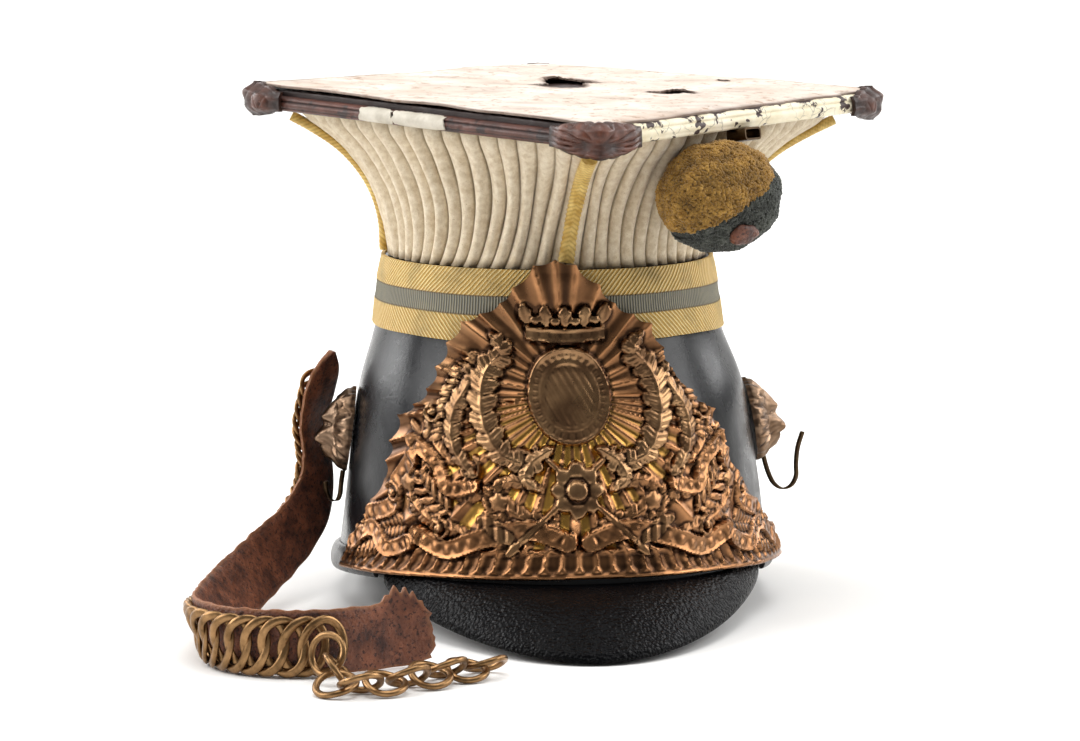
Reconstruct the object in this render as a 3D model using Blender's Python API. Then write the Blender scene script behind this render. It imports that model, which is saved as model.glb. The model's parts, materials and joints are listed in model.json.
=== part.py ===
"""A lance cap with a leather skull, fluted cloth top, square board and chin chain.

The cap stands upright. The front with its peak looks along -Y, +X is to the right of a viewer
who faces that front, and the floor under the back rim is z = 0. Units are metres.
"""
import math

import bmesh
import bpy
from mathutils import Matrix, Vector

MM = 0.001
GAP = 0.3 * MM

# The skull: half width, half length and sideways lean of its outline at each height.
SKULL_SECTIONS = [
    # (height, half width, half length, lean to the right), in millimetres
    (0.0, 79.8, 99.4, -2.8),
    (11.0, 80.2, 99.8, -2.8),
    (22.0, 79.2, 98.0, -2.4),
    (41.0, 77.2, 93.0, -2.2),
    (59.7, 74.9, 87.0, -2.6),
    (78.5, 71.6, 81.0, -3.0),
    (101.7, 64.0, 73.0, -4.2),
    (126.5, 60.1, 69.5, -4.5),
]
SKULL_WALL = 2.5 * MM
SKULL_SIDES = 48
RIM_TILT = 10.2 * MM
RIM_FLAT = 0.6 * MM
RIM_FRONT_LIFT = 16.5 * MM
RIM_LIFT_REACH = 41.0 * MM

BINDING_HEIGHT = 9.4 * MM
BINDING_DEPTH = 2.6 * MM
BINDING_START_DEG = 64.0
BINDING_END_DEG = 57.5

PEAK_HALF_ANGLE_DEG = 57.7
PEAK_SKEW_DEG = 3.4
PEAK_TIP_Y = 141.0 * MM
PEAK_END_Y = 54.0 * MM
PEAK_END_SKEW = 5.0 * MM
PEAK_HALF_WIDTH = 68.5 * MM
PEAK_EDGE_RISE = 14.6 * MM
PEAK_ROOT_HEIGHT = 20.2 * MM
PEAK_ROOT_GAP = 0.8 * MM
PEAK_BULGE = 4.4 * MM
PEAK_THICKNESS = 2.8 * MM

LACE_BOTTOM = 101.7 * MM
LACE_TOP = 127.0 * MM
LACE_THICKNESS = 1.5 * MM

# The cloth top: corner radius, squareness exponent (2 is round, 1 is square) and flute height.
CLOTH_SECTIONS = [
    # (height, corner radius, exponent, flute height), in millimetres
    (127.0, 57.8, 2.0, 1.4),
    (141.0, 60.5, 1.92, 3.3),
    (152.0, 65.6, 1.78, 3.6),
    (161.0, 72.6, 1.60, 3.6),
    (169.0, 81.8, 1.40, 3.4),
    (175.5, 92.8, 1.22, 3.0),
    (181.5, 105.0, 1.03, 2.2),
]
FLUTES = 56
POINTS_PER_FLUTE = 3
CLOTH_WALL = 4.0 * MM
CLOTH_LEAN = -4.5 * MM
BOARD_LEAN = 2.5 * MM

CORD_RADIUS = 2.4 * MM
CORD_STAND_OFF = 2.95 * MM
CORD_STEPS = 9
CORD_START = 128.6 * MM
CORD_FRONT_START = 132.2 * MM
CORD_FRONT_END = 171.5 * MM
CORD_END = 179.0 * MM

BOARD_SIDE = 158.0 * MM
BOARD_CENTRE_HEIGHT = 187.8 * MM
BOARD_TILT = 6.35 / 116.0
BOARD_ROLL = -1.35 / 116.0
BOARD_SADDLE = 1.0 * MM
BOARD_REACH = 116.0 * MM
SKIN_THICKNESS = 1.2 * MM
SKIN_OVERHANG = 2.6 * MM
CORE_THICKNESS = 4.6 * MM
BOARD_BUILD = SKIN_THICKNESS + CORE_THICKNESS + 3 * GAP
MOULDING_HEIGHT = 8.0 * MM
MOULDING_DEPTH = 3.6 * MM

SHELL_REACH = 18.5 * MM
SHELL_HEIGHT = 12.8 * MM
SHELL_THICKNESS = 1.6 * MM
SHELL_RIB = 1.5 * MM

# The stamped plate: half its width along the skull's surface at each height, and its shift to the right.
PLATE_SECTIONS = [
    # (height, half width along the surface, shift), in millimetres
    (16.0, 112.5, 5.5),
    (24.0, 112.5, 4.5),
    (32.0, 102.0, 3.5),
    (42.0, 87.5, 0.0),
    (50.0, 76.0, -1.5),
    (60.0, 67.5, -4.5),
    (68.0, 64.5, -5.5),
    (75.0, 61.5, -5.5),
    (83.0, 51.5, -5.5),
    (91.0, 44.0, -5.5),
    (99.0, 39.0, -4.7),
    (106.0, 35.0, -3.7),
    (111.0, 26.0, -3.0),
    (116.0, 20.5, -3.0),
    (122.5, 15.0, -3.0),
    (127.5, 8.0, -2.9),
    (130.0, 1.6, -2.9),
]
PLATE_COLUMNS = 24
PLATE_SHEET = 0.8 * MM
PLATE_STAND_OFF = 0.8 * MM
PLATE_RAY_HEIGHT = 1.3 * MM
PLATE_RAYS = 34
PLATE_RAY_CENTRE = 72.0 * MM
PLATE_BOTTOM_DROP = 6.0 * MM
PLATE_FLARE = 2.7 * MM
PLATE_FLARE_LEVELS = (21.0 * MM, 35.0 * MM)
PLATE_FLARE_DEG = (40.0, 55.0)

BOSS_HEIGHT = 31.0 * MM
BOSS_WIDTH = 26.0 * MM
BOSS_DEPTH = 14.5 * MM
BOSS_CENTRE_HEIGHT = 63.0 * MM
BOSS_STAND_OFF = 0.34 * MM
# Each boss: its side, and the skull's slope under it in degrees.
BOSS_SIDES = (("left", -1, 7.4), ("right", 1, 9.9))

HOOK_WIRE = 0.9 * MM

POMPOM_ANGLE_DEG = 37.0
POMPOM_DISTANCE = 90.8 * MM
POMPOM_HEIGHT = 152.5 * MM
# The pompom hangs a little to the wearer's right of its cord.
POMPOM_SHIFT = -4.3 * MM
POMPOM_HALF_SIZES = (25.3 * MM, 16.6 * MM, 19.5 * MM)
BUTTON_SEAT = 0.6 * MM

SOCKET_ANGLE_DEG = 45.0
SOCKET_OUTER = (9.6 * MM, 4.6 * MM)
SOCKET_WALL = 0.7 * MM
SOCKET_LENGTH = 8.2 * MM
SOCKET_START = 78.0 * MM
SOCKET_HEIGHT = 171.2 * MM

STRAP_WIDTH = 22.0 * MM
STRAP_THICKNESS = 2.4 * MM
# The strap's middle line, and the direction across it: its turn about Z and its lean off upright.
STRAP_STATIONS = [
    # (x, y, z, turn of the upper edge, lean of it, share of the width), in millimetres and degrees
    (-84.4, 6.5, 90.0, 228.0, 90.0, 0.1),
    (-86.2, 7.0, 84.0, 228.0, 90.0, 0.6),
    (-89.2, 7.8, 74.0, 238.0, 90.0, 1.0),
    (-91.6, 8.3, 62.0, 243.0, 88.0, 1.0),
    (-90.2, 7.4, 49.5, 240.0, 80.0, 1.0),
    (-91.0, 4.0, 38.0, 232.0, 70.0, 1.0),
    (-95.2, -5.0, 29.6, 228.0, 67.0, 1.0),
    (-102.2, -18.0, 23.0, 226.0, 61.0, 1.0),
    (-110.0, -35.0, 18.8, 220.0, 56.0, 1.0),
    (-117.2, -54.0, 15.4, 208.0, 50.0, 1.0),
    (-124.2, -76.0, 12.8, 192.0, 39.0, 1.0),
    (-129.4, -98.0, 11.3, 182.0, 28.0, 1.0),
    (-131.8, -115.0, 11.2, 184.0, 20.0, 1.0),
    (-129.6, -128.0, 11.2, 198.0, 12.0, 1.0),
    (-122.8, -138.2, 11.2, 215.0, 6.0, 1.0),
    (-112.8, -144.6, 11.2, 225.0, 2.0, 1.0),
    (-101.6, -147.4, 11.2, 225.0, 0.0, 1.0),
    (-89.6, -145.8, 11.2, 225.0, 0.0, 1.0),
    (-78.4, -141.8, 11.2, 180.0, 2.0, 1.0),
    (-67.2, -136.8, 11.6, 180.0, 6.0, 1.0),
    (-57.8, -134.0, 12.2, 180.0, 10.0, 0.9),
]

RING_RADIUS = 8.15 * MM
RING_WIRE = 1.05 * MM
RING_TWIST = 1.4 * MM
TAIL_RADIUS = 6.6 * MM
RING_STEPS = 10
RING_SIDES = 5
BAND_GAP = 1.15 * MM
BAND_END = 0.875

TAIL_LINKS = [
    # (x, y, z, heading, roll), in millimetres and degrees
    (-91.71, -160.41, 9.80, -41.5, 74.0),
    (-87.97, -168.35, 6.11, -93.8, -48.3),
    (-89.39, -176.86, 3.46, -26.6, 20.4),
    (-81.52, -181.10, 4.66, 10.0, -31.1),
    (-73.39, -176.60, 3.59, 25.6, 18.7),
    (-65.64, -172.80, 4.76, 24.2, -34.0),
    (-58.17, -166.86, 3.90, 27.9, 22.8),
    (-52.61, -160.65, 4.62, 28.4, -31.1),
    (-45.69, -157.54, 3.26, 24.4, 18.0),
    (-39.06, -152.73, 3.88, 28.3, -24.2),
]


def clear_scene():
    """Remove every object of the file."""
    for item in list(bpy.data.objects):
        bpy.data.objects.remove(item, do_unlink=True)


def make_material(name, colour, roughness, metallic):
    """Make a Principled material."""
    material = bpy.data.materials.new(name)
    material.use_nodes = True
    shader = material.node_tree.nodes["Principled BSDF"]
    shader.inputs["Base Color"].default_value = (*colour, 1.0)
    shader.inputs["Roughness"].default_value = roughness
    shader.inputs["Metallic"].default_value = metallic
    material.diffuse_color = (*colour, 1.0)
    return material


def make_object(name, vertices, faces, material, parent, smooth_angle=35.0):
    """Make a mesh object from vertices in metres and faces, with outward faces."""
    mesh = bpy.data.meshes.new(name)
    mesh.from_pydata([tuple(v) for v in vertices], [], faces)
    solid = bmesh.new()
    solid.from_mesh(mesh)
    bmesh.ops.recalc_face_normals(solid, faces=solid.faces)
    solid.to_mesh(mesh)
    solid.free()
    mesh.shade_smooth()
    mesh.set_sharp_from_angle(angle=math.radians(smooth_angle))
    mesh.materials.append(material)
    made = bpy.data.objects.new(name, mesh)
    bpy.context.scene.collection.objects.link(made)
    made.parent = parent
    return made


def between(rows, height, column):
    """Read a column of a table of sections at a height, all in millimetres."""
    if height <= rows[0][0]:
        return rows[0][column]
    for low, high in zip(rows, rows[1:]):
        if height <= high[0]:
            part = (height - low[0]) / (high[0] - low[0])
            return low[column] + (high[column] - low[column]) * part
    return rows[-1][column]


def skull_point(angle, height, offset=0.0):
    """Return the point of the skull's outer surface at an angle from the front."""
    level = height / MM
    half_width = between(SKULL_SECTIONS, level, 1) * MM + offset
    half_length = between(SKULL_SECTIONS, level, 2) * MM + offset
    lean = between(SKULL_SECTIONS, level, 3) * MM
    return Vector((lean + half_width * math.sin(angle), -half_length * math.cos(angle), height))


def skull_normal(angle, height):
    """Return the level outward direction of the skull at an angle."""
    level = height / MM
    half_width = between(SKULL_SECTIONS, level, 1)
    half_length = between(SKULL_SECTIONS, level, 2)
    return Vector((math.sin(angle) / half_width, -math.cos(angle) / half_length, 0.0)).normalized()


def rim_height(angle):
    """Return the height of the skull's lower edge: flat behind, rising to the peak in front."""
    tilted = RIM_TILT * (1 + math.cos(angle)) - RIM_FLAT
    return min(RIM_FRONT_LIFT, max(0.0, tilted))


def wrapped_wall(profiles):
    """Close a list of equal rings, the last joined to the first, into a wall's faces."""
    count = len(profiles[0])
    vertices = [point for ring in profiles for point in ring]
    faces = []
    for row in range(len(profiles)):
        after = (row + 1) % len(profiles)
        for place in range(count):
            beside = (place + 1) % count
            low = row * count
            high = after * count
            faces.append((low + place, low + beside, high + beside, high + place))
    return vertices, faces


def capped_loft(rings):
    """Join equal closed sections along a way and cap both ends."""
    count = len(rings[0])
    vertices = [point for ring in rings for point in ring]
    faces = []
    for row in range(len(rings) - 1):
        for place in range(count):
            beside = (place + 1) % count
            low = row * count
            high = low + count
            faces.append((low + place, low + beside, high + beside, high + place))
    faces.append(tuple(range(count)))
    last = (len(rings) - 1) * count
    faces.append(tuple(last + place for place in range(count)))
    return vertices, faces


def sheet_solid(front, back):
    """Close two equal grids of points, front and back, into one solid."""
    rows = len(front)
    columns = len(front[0])
    vertices = [point for row in front for point in row] + [point for row in back for point in row]
    shift = rows * columns
    faces = []
    for row in range(rows - 1):
        for column in range(columns - 1):
            first = row * columns + column
            quad = (first, first + 1, first + columns + 1, first + columns)
            faces.append(quad)
            faces.append(tuple(shift + place for place in reversed(quad)))
    border = [column for column in range(columns - 1)]
    border += [row * columns + columns - 1 for row in range(rows - 1)]
    border += [(rows - 1) * columns + column for column in range(columns - 1, 0, -1)]
    border += [row * columns for row in range(rows - 1, 0, -1)]
    for place, index in enumerate(border):
        beside = border[(place + 1) % len(border)]
        faces.append((beside, index, shift + index, shift + beside))
    return vertices, faces


def tube_rings(points, radius, sides, turned=0.0):
    """Return sections of a round bar along points that turn smoothly."""
    rings = []
    side = None
    for place, point in enumerate(points):
        ahead = points[min(place + 1, len(points) - 1)]
        behind = points[max(place - 1, 0)]
        along = (ahead - behind).normalized()
        if side is None:
            reference = Vector((0, 0, 1)) if abs(along.z) < 0.9 else Vector((1, 0, 0))
            side = along.cross(reference).normalized()
        side = (side - along * side.dot(along)).normalized()
        up = along.cross(side)
        ring = []
        for step in range(sides):
            angle = turned + math.tau * step / sides
            ring.append(point + side * (radius * math.cos(angle)) + up * (radius * math.sin(angle)))
        rings.append(ring)
    return rings


def smooth_way(points, steps):
    """Return points along a Catmull-Rom curve through tuples of numbers."""
    way = []
    last = len(points) - 1
    for place in range(last):
        before = points[max(place - 1, 0)]
        start = points[place]
        end = points[place + 1]
        after = points[min(place + 2, last)]
        for step in range(steps):
            t = step / steps
            row = []
            for a, b, c, d in zip(before, start, end, after):
                bend = 2 * b + (c - a) * t + (2 * a - 5 * b + 4 * c - d) * t * t
                row.append(0.5 * (bend + (3 * b - a - 3 * c + d) * t ** 3))
            way.append(tuple(row))
    way.append(tuple(points[last]))
    return way


def make_skull(material, parent):
    """Make the leather skull, a wall open above and below."""
    outer = []
    inner = []
    for section in SKULL_SECTIONS:
        level = section[0] * MM
        lifted = max(0.0, 1 - level / RIM_LIFT_REACH)
        ring_out = []
        ring_in = []
        for step in range(SKULL_SIDES):
            angle = math.tau * step / SKULL_SIDES
            height = level + rim_height(angle) * lifted
            ring_out.append(skull_point(angle, height))
            ring_in.append(skull_point(angle, height, -SKULL_WALL))
        outer.append(ring_out)
        if section in SKULL_SECTIONS[::3] or section is SKULL_SECTIONS[-1]:
            inner.append(ring_in)
    vertices, faces = wrapped_wall(outer + inner[::-1])
    make_object("skull", vertices, faces, material, parent)


def make_rim_binding(material, parent):
    """Make the rounded roll that edges the skull from one end of the peak round to the other."""
    rings = []
    start = math.radians(BINDING_START_DEG)
    span = math.tau - start - math.radians(BINDING_END_DEG)
    steps = 30
    for step in range(steps + 1):
        angle = start + span * step / steps
        low = rim_height(angle)
        ring = []
        for place in range(6):
            turn = math.pi * place / 5 - math.pi / 2
            height = low + BINDING_HEIGHT / 2 * (1 + math.sin(turn))
            depth = GAP + BINDING_DEPTH * max(0.0, math.cos(turn)) ** 0.6
            ring.append(skull_point(angle, height, depth))
        rings.append(ring)
    vertices, faces = capped_loft(rings)
    make_object("rim_binding", vertices, faces, material, parent, 50.0)


def make_peak(material, parent):
    """Make the leather peak, which slopes from the skull's front down to the floor."""
    columns = 24
    rows = 5
    half_angle = math.radians(PEAK_HALF_ANGLE_DEG)
    skew = math.radians(PEAK_SKEW_DEG)
    upper = []
    lower = []
    for row in range(rows + 1):
        out = row / rows
        line_up = []
        line_low = []
        for column in range(columns + 1):
            side = -1 + 2 * column / columns
            angle = half_angle * side + skew * abs(side)
            edge_turn = math.pi / 2 * side
            raised = (PEAK_ROOT_HEIGHT - RIM_FRONT_LIFT) * (1 - 0.55 * abs(side) ** 2)
            root_height = rim_height(angle) + raised
            root = skull_point(angle, root_height, PEAK_ROOT_GAP)
            edge_z = PEAK_THICKNESS + PEAK_EDGE_RISE * (1 - math.cos(edge_turn)) ** 0.92
            end_y = PEAK_END_Y - PEAK_END_SKEW * side
            edge_y = -(end_y + (PEAK_TIP_Y - end_y) * math.cos(edge_turn) ** 1.8)
            edge = Vector((PEAK_HALF_WIDTH * math.sin(edge_turn), edge_y, edge_z))
            reach = 0.012 + 0.988 * out
            point = root.lerp(edge, reach)
            point.z += PEAK_BULGE * math.sin(math.pi * out) * math.cos(edge_turn)
            line_up.append(point)
            drop = PEAK_THICKNESS if out < 0.99 else PEAK_THICKNESS * 0.9
            line_low.append(point - Vector((0, 0, drop)))
        upper.append(line_up)
        lower.append(line_low)
    vertices, faces = sheet_solid(upper, lower)
    make_object("peak", vertices, faces, material, parent)


def make_lace_band(material, parent):
    """Make the woven lace round the waist."""
    bottom = LACE_BOTTOM
    rows = [
        (bottom, GAP),
        (bottom + 0.6 * MM, GAP + LACE_THICKNESS),
        (LACE_TOP - 0.6 * MM, GAP + LACE_THICKNESS + 0.3 * MM),
        (LACE_TOP, GAP + LACE_THICKNESS),
        (LACE_TOP - 0.7 * MM, GAP),
    ]
    rings = []
    for height, offset in rows:
        angles = [math.tau * step / SKULL_SIDES for step in range(SKULL_SIDES)]
        rings.append([skull_point(angle, height, offset) for angle in angles])
    vertices, faces = wrapped_wall(rings)
    make_object("lace_band", vertices, faces, material, parent)


def board_surface(x, y):
    """Return the height of the board's upper face at a place."""
    across = (x - BOARD_LEAN) / BOARD_REACH
    along = y / BOARD_REACH
    level = BOARD_CENTRE_HEIGHT + BOARD_TILT * y + BOARD_ROLL * (x - BOARD_LEAN)
    return level + BOARD_SADDLE * (across ** 2 - along ** 2)


def cloth_radius(angle, height, column=1):
    """Return the cloth top's radius at an angle, without its flutes."""
    corner = between(CLOTH_SECTIONS, height / MM, column) * MM
    power = between(CLOTH_SECTIONS, height / MM, 2)
    return corner / (abs(math.cos(angle)) ** power + abs(math.sin(angle)) ** power) ** (1 / power)


def cloth_lean(height):
    """Return how far the cloth top leans to the right at a height."""
    part = (height / MM - 127.0) / (181.5 - 127.0)
    return CLOTH_LEAN + (BOARD_LEAN - CLOTH_LEAN) * min(1.0, max(0.0, part))


def cloth_stretch(height):
    """Return how much longer the top is than wide: it starts on the oval skull."""
    part = min(1.0, max(0.0, (height / MM - 127.0) / 40.0))
    return 1.15 - 0.15 * part


def cloth_point(angle, height, offset):
    """Return a point of the cloth top's surface, moved outward by an offset."""
    low = CLOTH_SECTIONS[0][0] * MM
    high = CLOTH_SECTIONS[-1][0] * MM
    reach = cloth_radius(angle, high)
    top = board_surface(cloth_lean(high) + reach * math.sin(angle), -reach * math.cos(angle)) - BOARD_BUILD
    level = low + (height - low) * (top - low) / (high - low)
    radius = cloth_radius(angle, height) + offset
    along = -radius * math.cos(angle) * cloth_stretch(height)
    return Vector((cloth_lean(height) + radius * math.sin(angle), along, level))


def fluted_wall(outer, inner):
    """Close finely divided outer rings and coarser inner rings into one open wall."""
    fine = len(outer[0])
    coarse = len(inner[0])
    share = fine // coarse
    vertices = [point for ring in outer + inner for point in ring]
    shift = fine * len(outer)
    faces = []
    for count, base, rows in ((fine, 0, len(outer)), (coarse, shift, len(inner))):
        for row in range(rows - 1):
            for place in range(count):
                beside = (place + 1) % count
                low = base + row * count
                faces.append((low + place, low + beside, low + count + beside, low + count + place))
    for low, inside in ((0, shift), (fine * (len(outer) - 1), shift + coarse * (len(inner) - 1))):
        for place in range(coarse):
            edge = [low + (place * share + step) % fine for step in range(share + 1)]
            near = inside + place
            for first, second in zip(edge, edge[1:]):
                faces.append((first, second, near))
            faces.append((edge[-1], inside + (place + 1) % coarse, near))
    return vertices, faces


def make_fluted_top(material, parent):
    """Make the padded cloth wall with its upright flutes, open below and under the board."""
    count = FLUTES * POINTS_PER_FLUTE
    lifts = (0.0, 0.82, 0.82)
    outer = []
    for row, section in enumerate(CLOTH_SECTIONS):
        height = section[0] * MM
        ring = []
        for step in range(count):
            angle = math.tau * step / count
            beside_cord = step % (count // 4) in (1, count // 4 - 1)
            lift = 0.0 if beside_cord else lifts[step % POINTS_PER_FLUTE] * section[3] * MM
            point = cloth_point(angle, height, lift)
            if row == len(CLOTH_SECTIONS) - 1:
                point.z = board_surface(point.x, point.y) - BOARD_BUILD
            ring.append(point)
        outer.append(ring)
    inner = []
    for section in (CLOTH_SECTIONS[0], CLOTH_SECTIONS[3], CLOTH_SECTIONS[-1]):
        height = section[0] * MM
        ring = []
        for step in range(FLUTES):
            point = cloth_point(math.tau * step / FLUTES, height, -CLOTH_WALL)
            if section is CLOTH_SECTIONS[-1]:
                point.z = board_surface(point.x, point.y) - BOARD_BUILD
            ring.append(point)
        inner.append(ring)
    vertices, faces = fluted_wall(outer, inner)
    make_object("fluted_top", vertices, faces, material, parent, 60.0)


def make_corner_cords(material, parent):
    """Make the four gimp cords that run up the cloth's corners."""
    names = ("front", "right", "back", "left")
    for quarter, name in enumerate(names):
        angle = math.pi / 2 * quarter
        points = []
        start, end = (CORD_FRONT_START, CORD_FRONT_END) if name == "front" else (CORD_START, CORD_END)
        outward = Vector((math.sin(angle), -math.cos(angle), 0.0))
        for step in range(CORD_STEPS + 1):
            height = start + (end - start) * step / CORD_STEPS
            base = cloth_point(angle, height, 0.0)
            above = cloth_point(angle, height + 0.5 * MM, 0.0)
            rise = (above - cloth_point(angle, height - 0.5 * MM, 0.0)).normalized()
            away = (outward - rise * outward.dot(rise)).normalized()
            points.append(base + away * CORD_STAND_OFF)
        vertices, faces = capped_loft(tube_rings(points, CORD_RADIUS, 7))
        make_object("corner_cord_" + name, vertices, faces, material, parent, 60.0)


def diamond(half_diagonal, steps):
    """Return level places round a square whose corners lie on the axes, steps to a side."""
    places = []
    corners = [(0, -1), (1, 0), (0, 1), (-1, 0)]
    for (x0, y0), (x1, y1) in zip(corners, corners[1:] + corners[:1]):
        for step in range(steps):
            part = step / steps
            x = x0 + (x1 - x0) * part
            y = y0 + (y1 - y0) * part
            places.append((x * half_diagonal, y * half_diagonal))
    return places


def board_layer(name, half_diagonal, top_drop, thickness, material, parent):
    """Make one square layer of the board, bent to the board's surface."""
    steps = 6
    rows = []
    for scale in (1.0, 0.66, 0.33):
        rows.append([(x * scale + BOARD_LEAN, y * scale) for x, y in diamond(half_diagonal, steps)])
    count = len(rows[0])
    vertices = []
    for drop in (top_drop, top_drop + thickness):
        for row in rows:
            vertices += [(x, y, board_surface(x, y) - drop) for x, y in row]
        vertices.append((BOARD_LEAN, 0.0, board_surface(BOARD_LEAN, 0.0) - drop))
    layer = 3 * count + 1
    faces = []
    for base in (0, layer):
        for row in range(2):
            for place in range(count):
                beside = (place + 1) % count
                first = base + row * count
                faces.append((first + place, first + beside, first + count + beside, first + count + place))
        for place in range(count):
            first = base + 2 * count
            faces.append((first + place, first + (place + 1) % count, base + 3 * count))
    for place in range(count):
        beside = (place + 1) % count
        faces.append((place, beside, layer + beside, layer + place))
    make_object(name, vertices, faces, material, parent)


def make_edge_mouldings(materials, parent):
    """Make the rounded strip along each edge of the board, between the corner shells."""
    half = BOARD_SIDE / math.sqrt(2)
    corners = [Vector((0, -half, 0)), Vector((half, 0, 0)), Vector((0, half, 0)), Vector((-half, 0, 0))]
    names = ("front_right", "back_right", "back_left", "front_left")
    for place, name in enumerate(names):
        start = corners[place]
        end = corners[(place + 1) % 4]
        along = (end - start).normalized()
        outward = Vector((along.y, -along.x, 0.0))
        rings = []
        for step in range(9):
            centre = start.lerp(end, 0.012 + 0.976 * step / 8)
            ring = []
            for turn in range(7):
                angle = math.pi * turn / 6 - math.pi / 2
                reach = GAP + MOULDING_DEPTH * max(0.0, math.cos(angle)) ** 0.7
                point = centre + outward * reach
                point.x += BOARD_LEAN
                drop = SKIN_THICKNESS + 2 * GAP + MOULDING_HEIGHT / 2 * (1 - math.sin(angle))
                ring.append(Vector((point.x, point.y, board_surface(point.x, point.y) - drop)))
            rings.append(ring)
        vertices, faces = capped_loft(rings)
        make_object("edge_moulding_" + name, vertices, faces, materials[place], parent, 50.0)


def make_corner_shells(material, parent):
    """Make the four folded shell ornaments that cap the board's corners."""
    half = BOARD_SIDE / math.sqrt(2)
    columns = 14
    rows = 3
    base = MOULDING_DEPTH + 2 * GAP
    for quarter, name in enumerate(("front", "right", "back", "left")):
        turn = Matrix.Rotation(math.pi / 2 * quarter, 3, "Z")
        front = []
        back = []
        for row in range(rows + 1):
            level = row / rows
            line_front = []
            line_back = []
            for column in range(columns + 1):
                side = -1 + 2 * column / columns
                crown = max(0.12, 1 - abs(side) ** 2.6)
                rib = SHELL_RIB * (0.55 + 0.45 * math.cos(side * 7.0 * math.pi)) * (0.35 + 0.65 * level)
                bulge = rib * crown + 2.2 * MM * math.sin(math.pi * level) * crown
                height = SHELL_HEIGHT * (-0.5 + level) * (0.62 + 0.38 * crown)
                reach = abs(side) * SHELL_REACH
                direction = Vector((math.copysign(1, side), 1, 0)).normalized()
                outward = Vector((math.copysign(1, side), -1, 0)).normalized()
                blend = min(1.0, abs(side) / 0.24)
                facing = Vector((0, -1, 0)).lerp(outward, blend).normalized()
                corner = Vector((0, -half - base * math.sqrt(2), 0)) + direction * reach
                corner.y += (1 - blend) ** 2 * 0.9 * MM
                for line, extra in ((line_front, SHELL_THICKNESS + bulge), (line_back, 0.0)):
                    point = turn @ (corner + facing * extra)
                    point.x += BOARD_LEAN
                    point.z = board_surface(point.x, point.y) - 5.4 * MM + height
                    line.append(point)
            front.append(line_front)
            back.append(line_back)
        vertices, faces = sheet_solid(front, back)
        make_object("corner_shell_" + name, vertices, faces, material, parent, 40.0)


def surface_angle(distance, height):
    """Return the angle at a distance along the skull's surface from the front."""
    level = height / MM
    half_width = between(SKULL_SECTIONS, level, 1) * MM
    half_length = between(SKULL_SECTIONS, level, 2) * MM
    angle = 0.0
    walked = 0.0
    step = math.radians(0.5)
    while True:
        pace = math.hypot(half_width * math.cos(angle), half_length * math.sin(angle))
        if walked + pace * step >= abs(distance):
            return math.copysign(angle + (abs(distance) - walked) / pace, distance)
        walked += pace * step
        angle += step


def cap_front_clearance(angle, height):
    """Return how far the lace and the flutes stand off the skull at a height."""
    if height < LACE_BOTTOM - 6 * MM:
        return 0.0
    rise = min(1.0, (height - LACE_BOTTOM + 6 * MM) / (6 * MM))
    clearance = (LACE_THICKNESS + 2 * GAP) * rise
    if height > 124 * MM:
        clearance += 2.9 * MM * min(1.0, (height - 124 * MM) / (4 * MM))
    return clearance


def plate_relief(side, height):
    """Return how far the stamped face stands out at a place, side in metres along the surface."""
    lift = height - PLATE_RAY_CENTRE
    angle = math.atan2(side, lift)
    away = math.hypot(side, lift)
    rays = PLATE_RAY_HEIGHT * 0.5 * (1 + math.cos(angle * PLATE_RAYS))
    relief = rays * min(1.0, away / (30 * MM))
    shield = (side / (17 * MM)) ** 2 + ((height - 88 * MM) / (20 * MM)) ** 2
    if shield < 1.0:
        relief = 2.4 * MM * (1 - shield ** 3) + 0.6 * MM
    return relief


def plate_flare(angle, level):
    """Return how far the plate's lower ends bend out over the rolled rim."""
    low, high = PLATE_FLARE_LEVELS
    near, far = PLATE_FLARE_DEG
    upright = min(1.0, max(0.0, (high - level) / (high - low)))
    round_side = min(1.0, max(0.0, (abs(math.degrees(angle)) - near) / (far - near)))
    return PLATE_FLARE * upright * round_side


def make_front_plate(material, parent):
    """Make the stamped brass plate, wrapped round the skull's front and over the lace."""
    heights = [row[0] * MM for row in PLATE_SECTIONS]
    front = []
    back = []
    for height in heights:
        line_front = []
        line_back = []
        half = between(PLATE_SECTIONS, height / MM, 1) * MM
        shift = between(PLATE_SECTIONS, height / MM, 2) * MM
        for column in range(PLATE_COLUMNS + 1):
            side = -1 + 2 * column / PLATE_COLUMNS
            distance = half * side + shift
            angle = surface_angle(distance, height)
            lower = max(0.0, 1 - (height - heights[0]) / (26 * MM))
            level = height + PLATE_BOTTOM_DROP * lower * (1 - abs(side) ** 1.6)
            stand = PLATE_STAND_OFF + cap_front_clearance(angle, level) + plate_flare(angle, level)
            relief = plate_relief(distance - shift, level)
            line_back.append(skull_point(angle, level, stand))
            line_front.append(skull_point(angle, level, stand + PLATE_SHEET + relief))
        front.append(line_front)
        back.append(line_back)
    vertices, faces = sheet_solid(front, back)
    make_object("front_plate", vertices, faces, material, parent, 30.0)


def boss_relief(across, up):
    """Return the lion mask's height over its back at a place in its outline, all from -1 to 1."""
    bumps = [
        # (across, up, width, height of the bump)
        (0.0, -0.22, 0.34, 0.50),
        (0.0, 0.12, 0.26, 0.26),
        (-0.36, 0.22, 0.22, 0.16),
        (0.36, 0.22, 0.22, 0.16),
        (-0.24, 0.08, 0.10, -0.14),
        (0.24, 0.08, 0.10, -0.14),
        (0.0, -0.62, 0.24, 0.22),
        (-0.55, 0.72, 0.20, 0.22),
        (0.55, 0.72, 0.20, 0.22),
    ]
    dome = 0.42 * math.sqrt(max(0.0, 1 - across ** 2 - up ** 2))
    angle = math.atan2(across, up)
    away = math.hypot(across, up)
    mane = 0.10 * math.cos(angle * 11) * max(0.0, min(1.0, (away - 0.45) / 0.3)) * (1.0 - 0.5 * away)
    total = 0.10 + dome + mane
    for x, z, width, height in bumps:
        total += height * math.exp(-((across - x) ** 2 + (up - z) ** 2) / (width ** 2))
    return total


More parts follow.
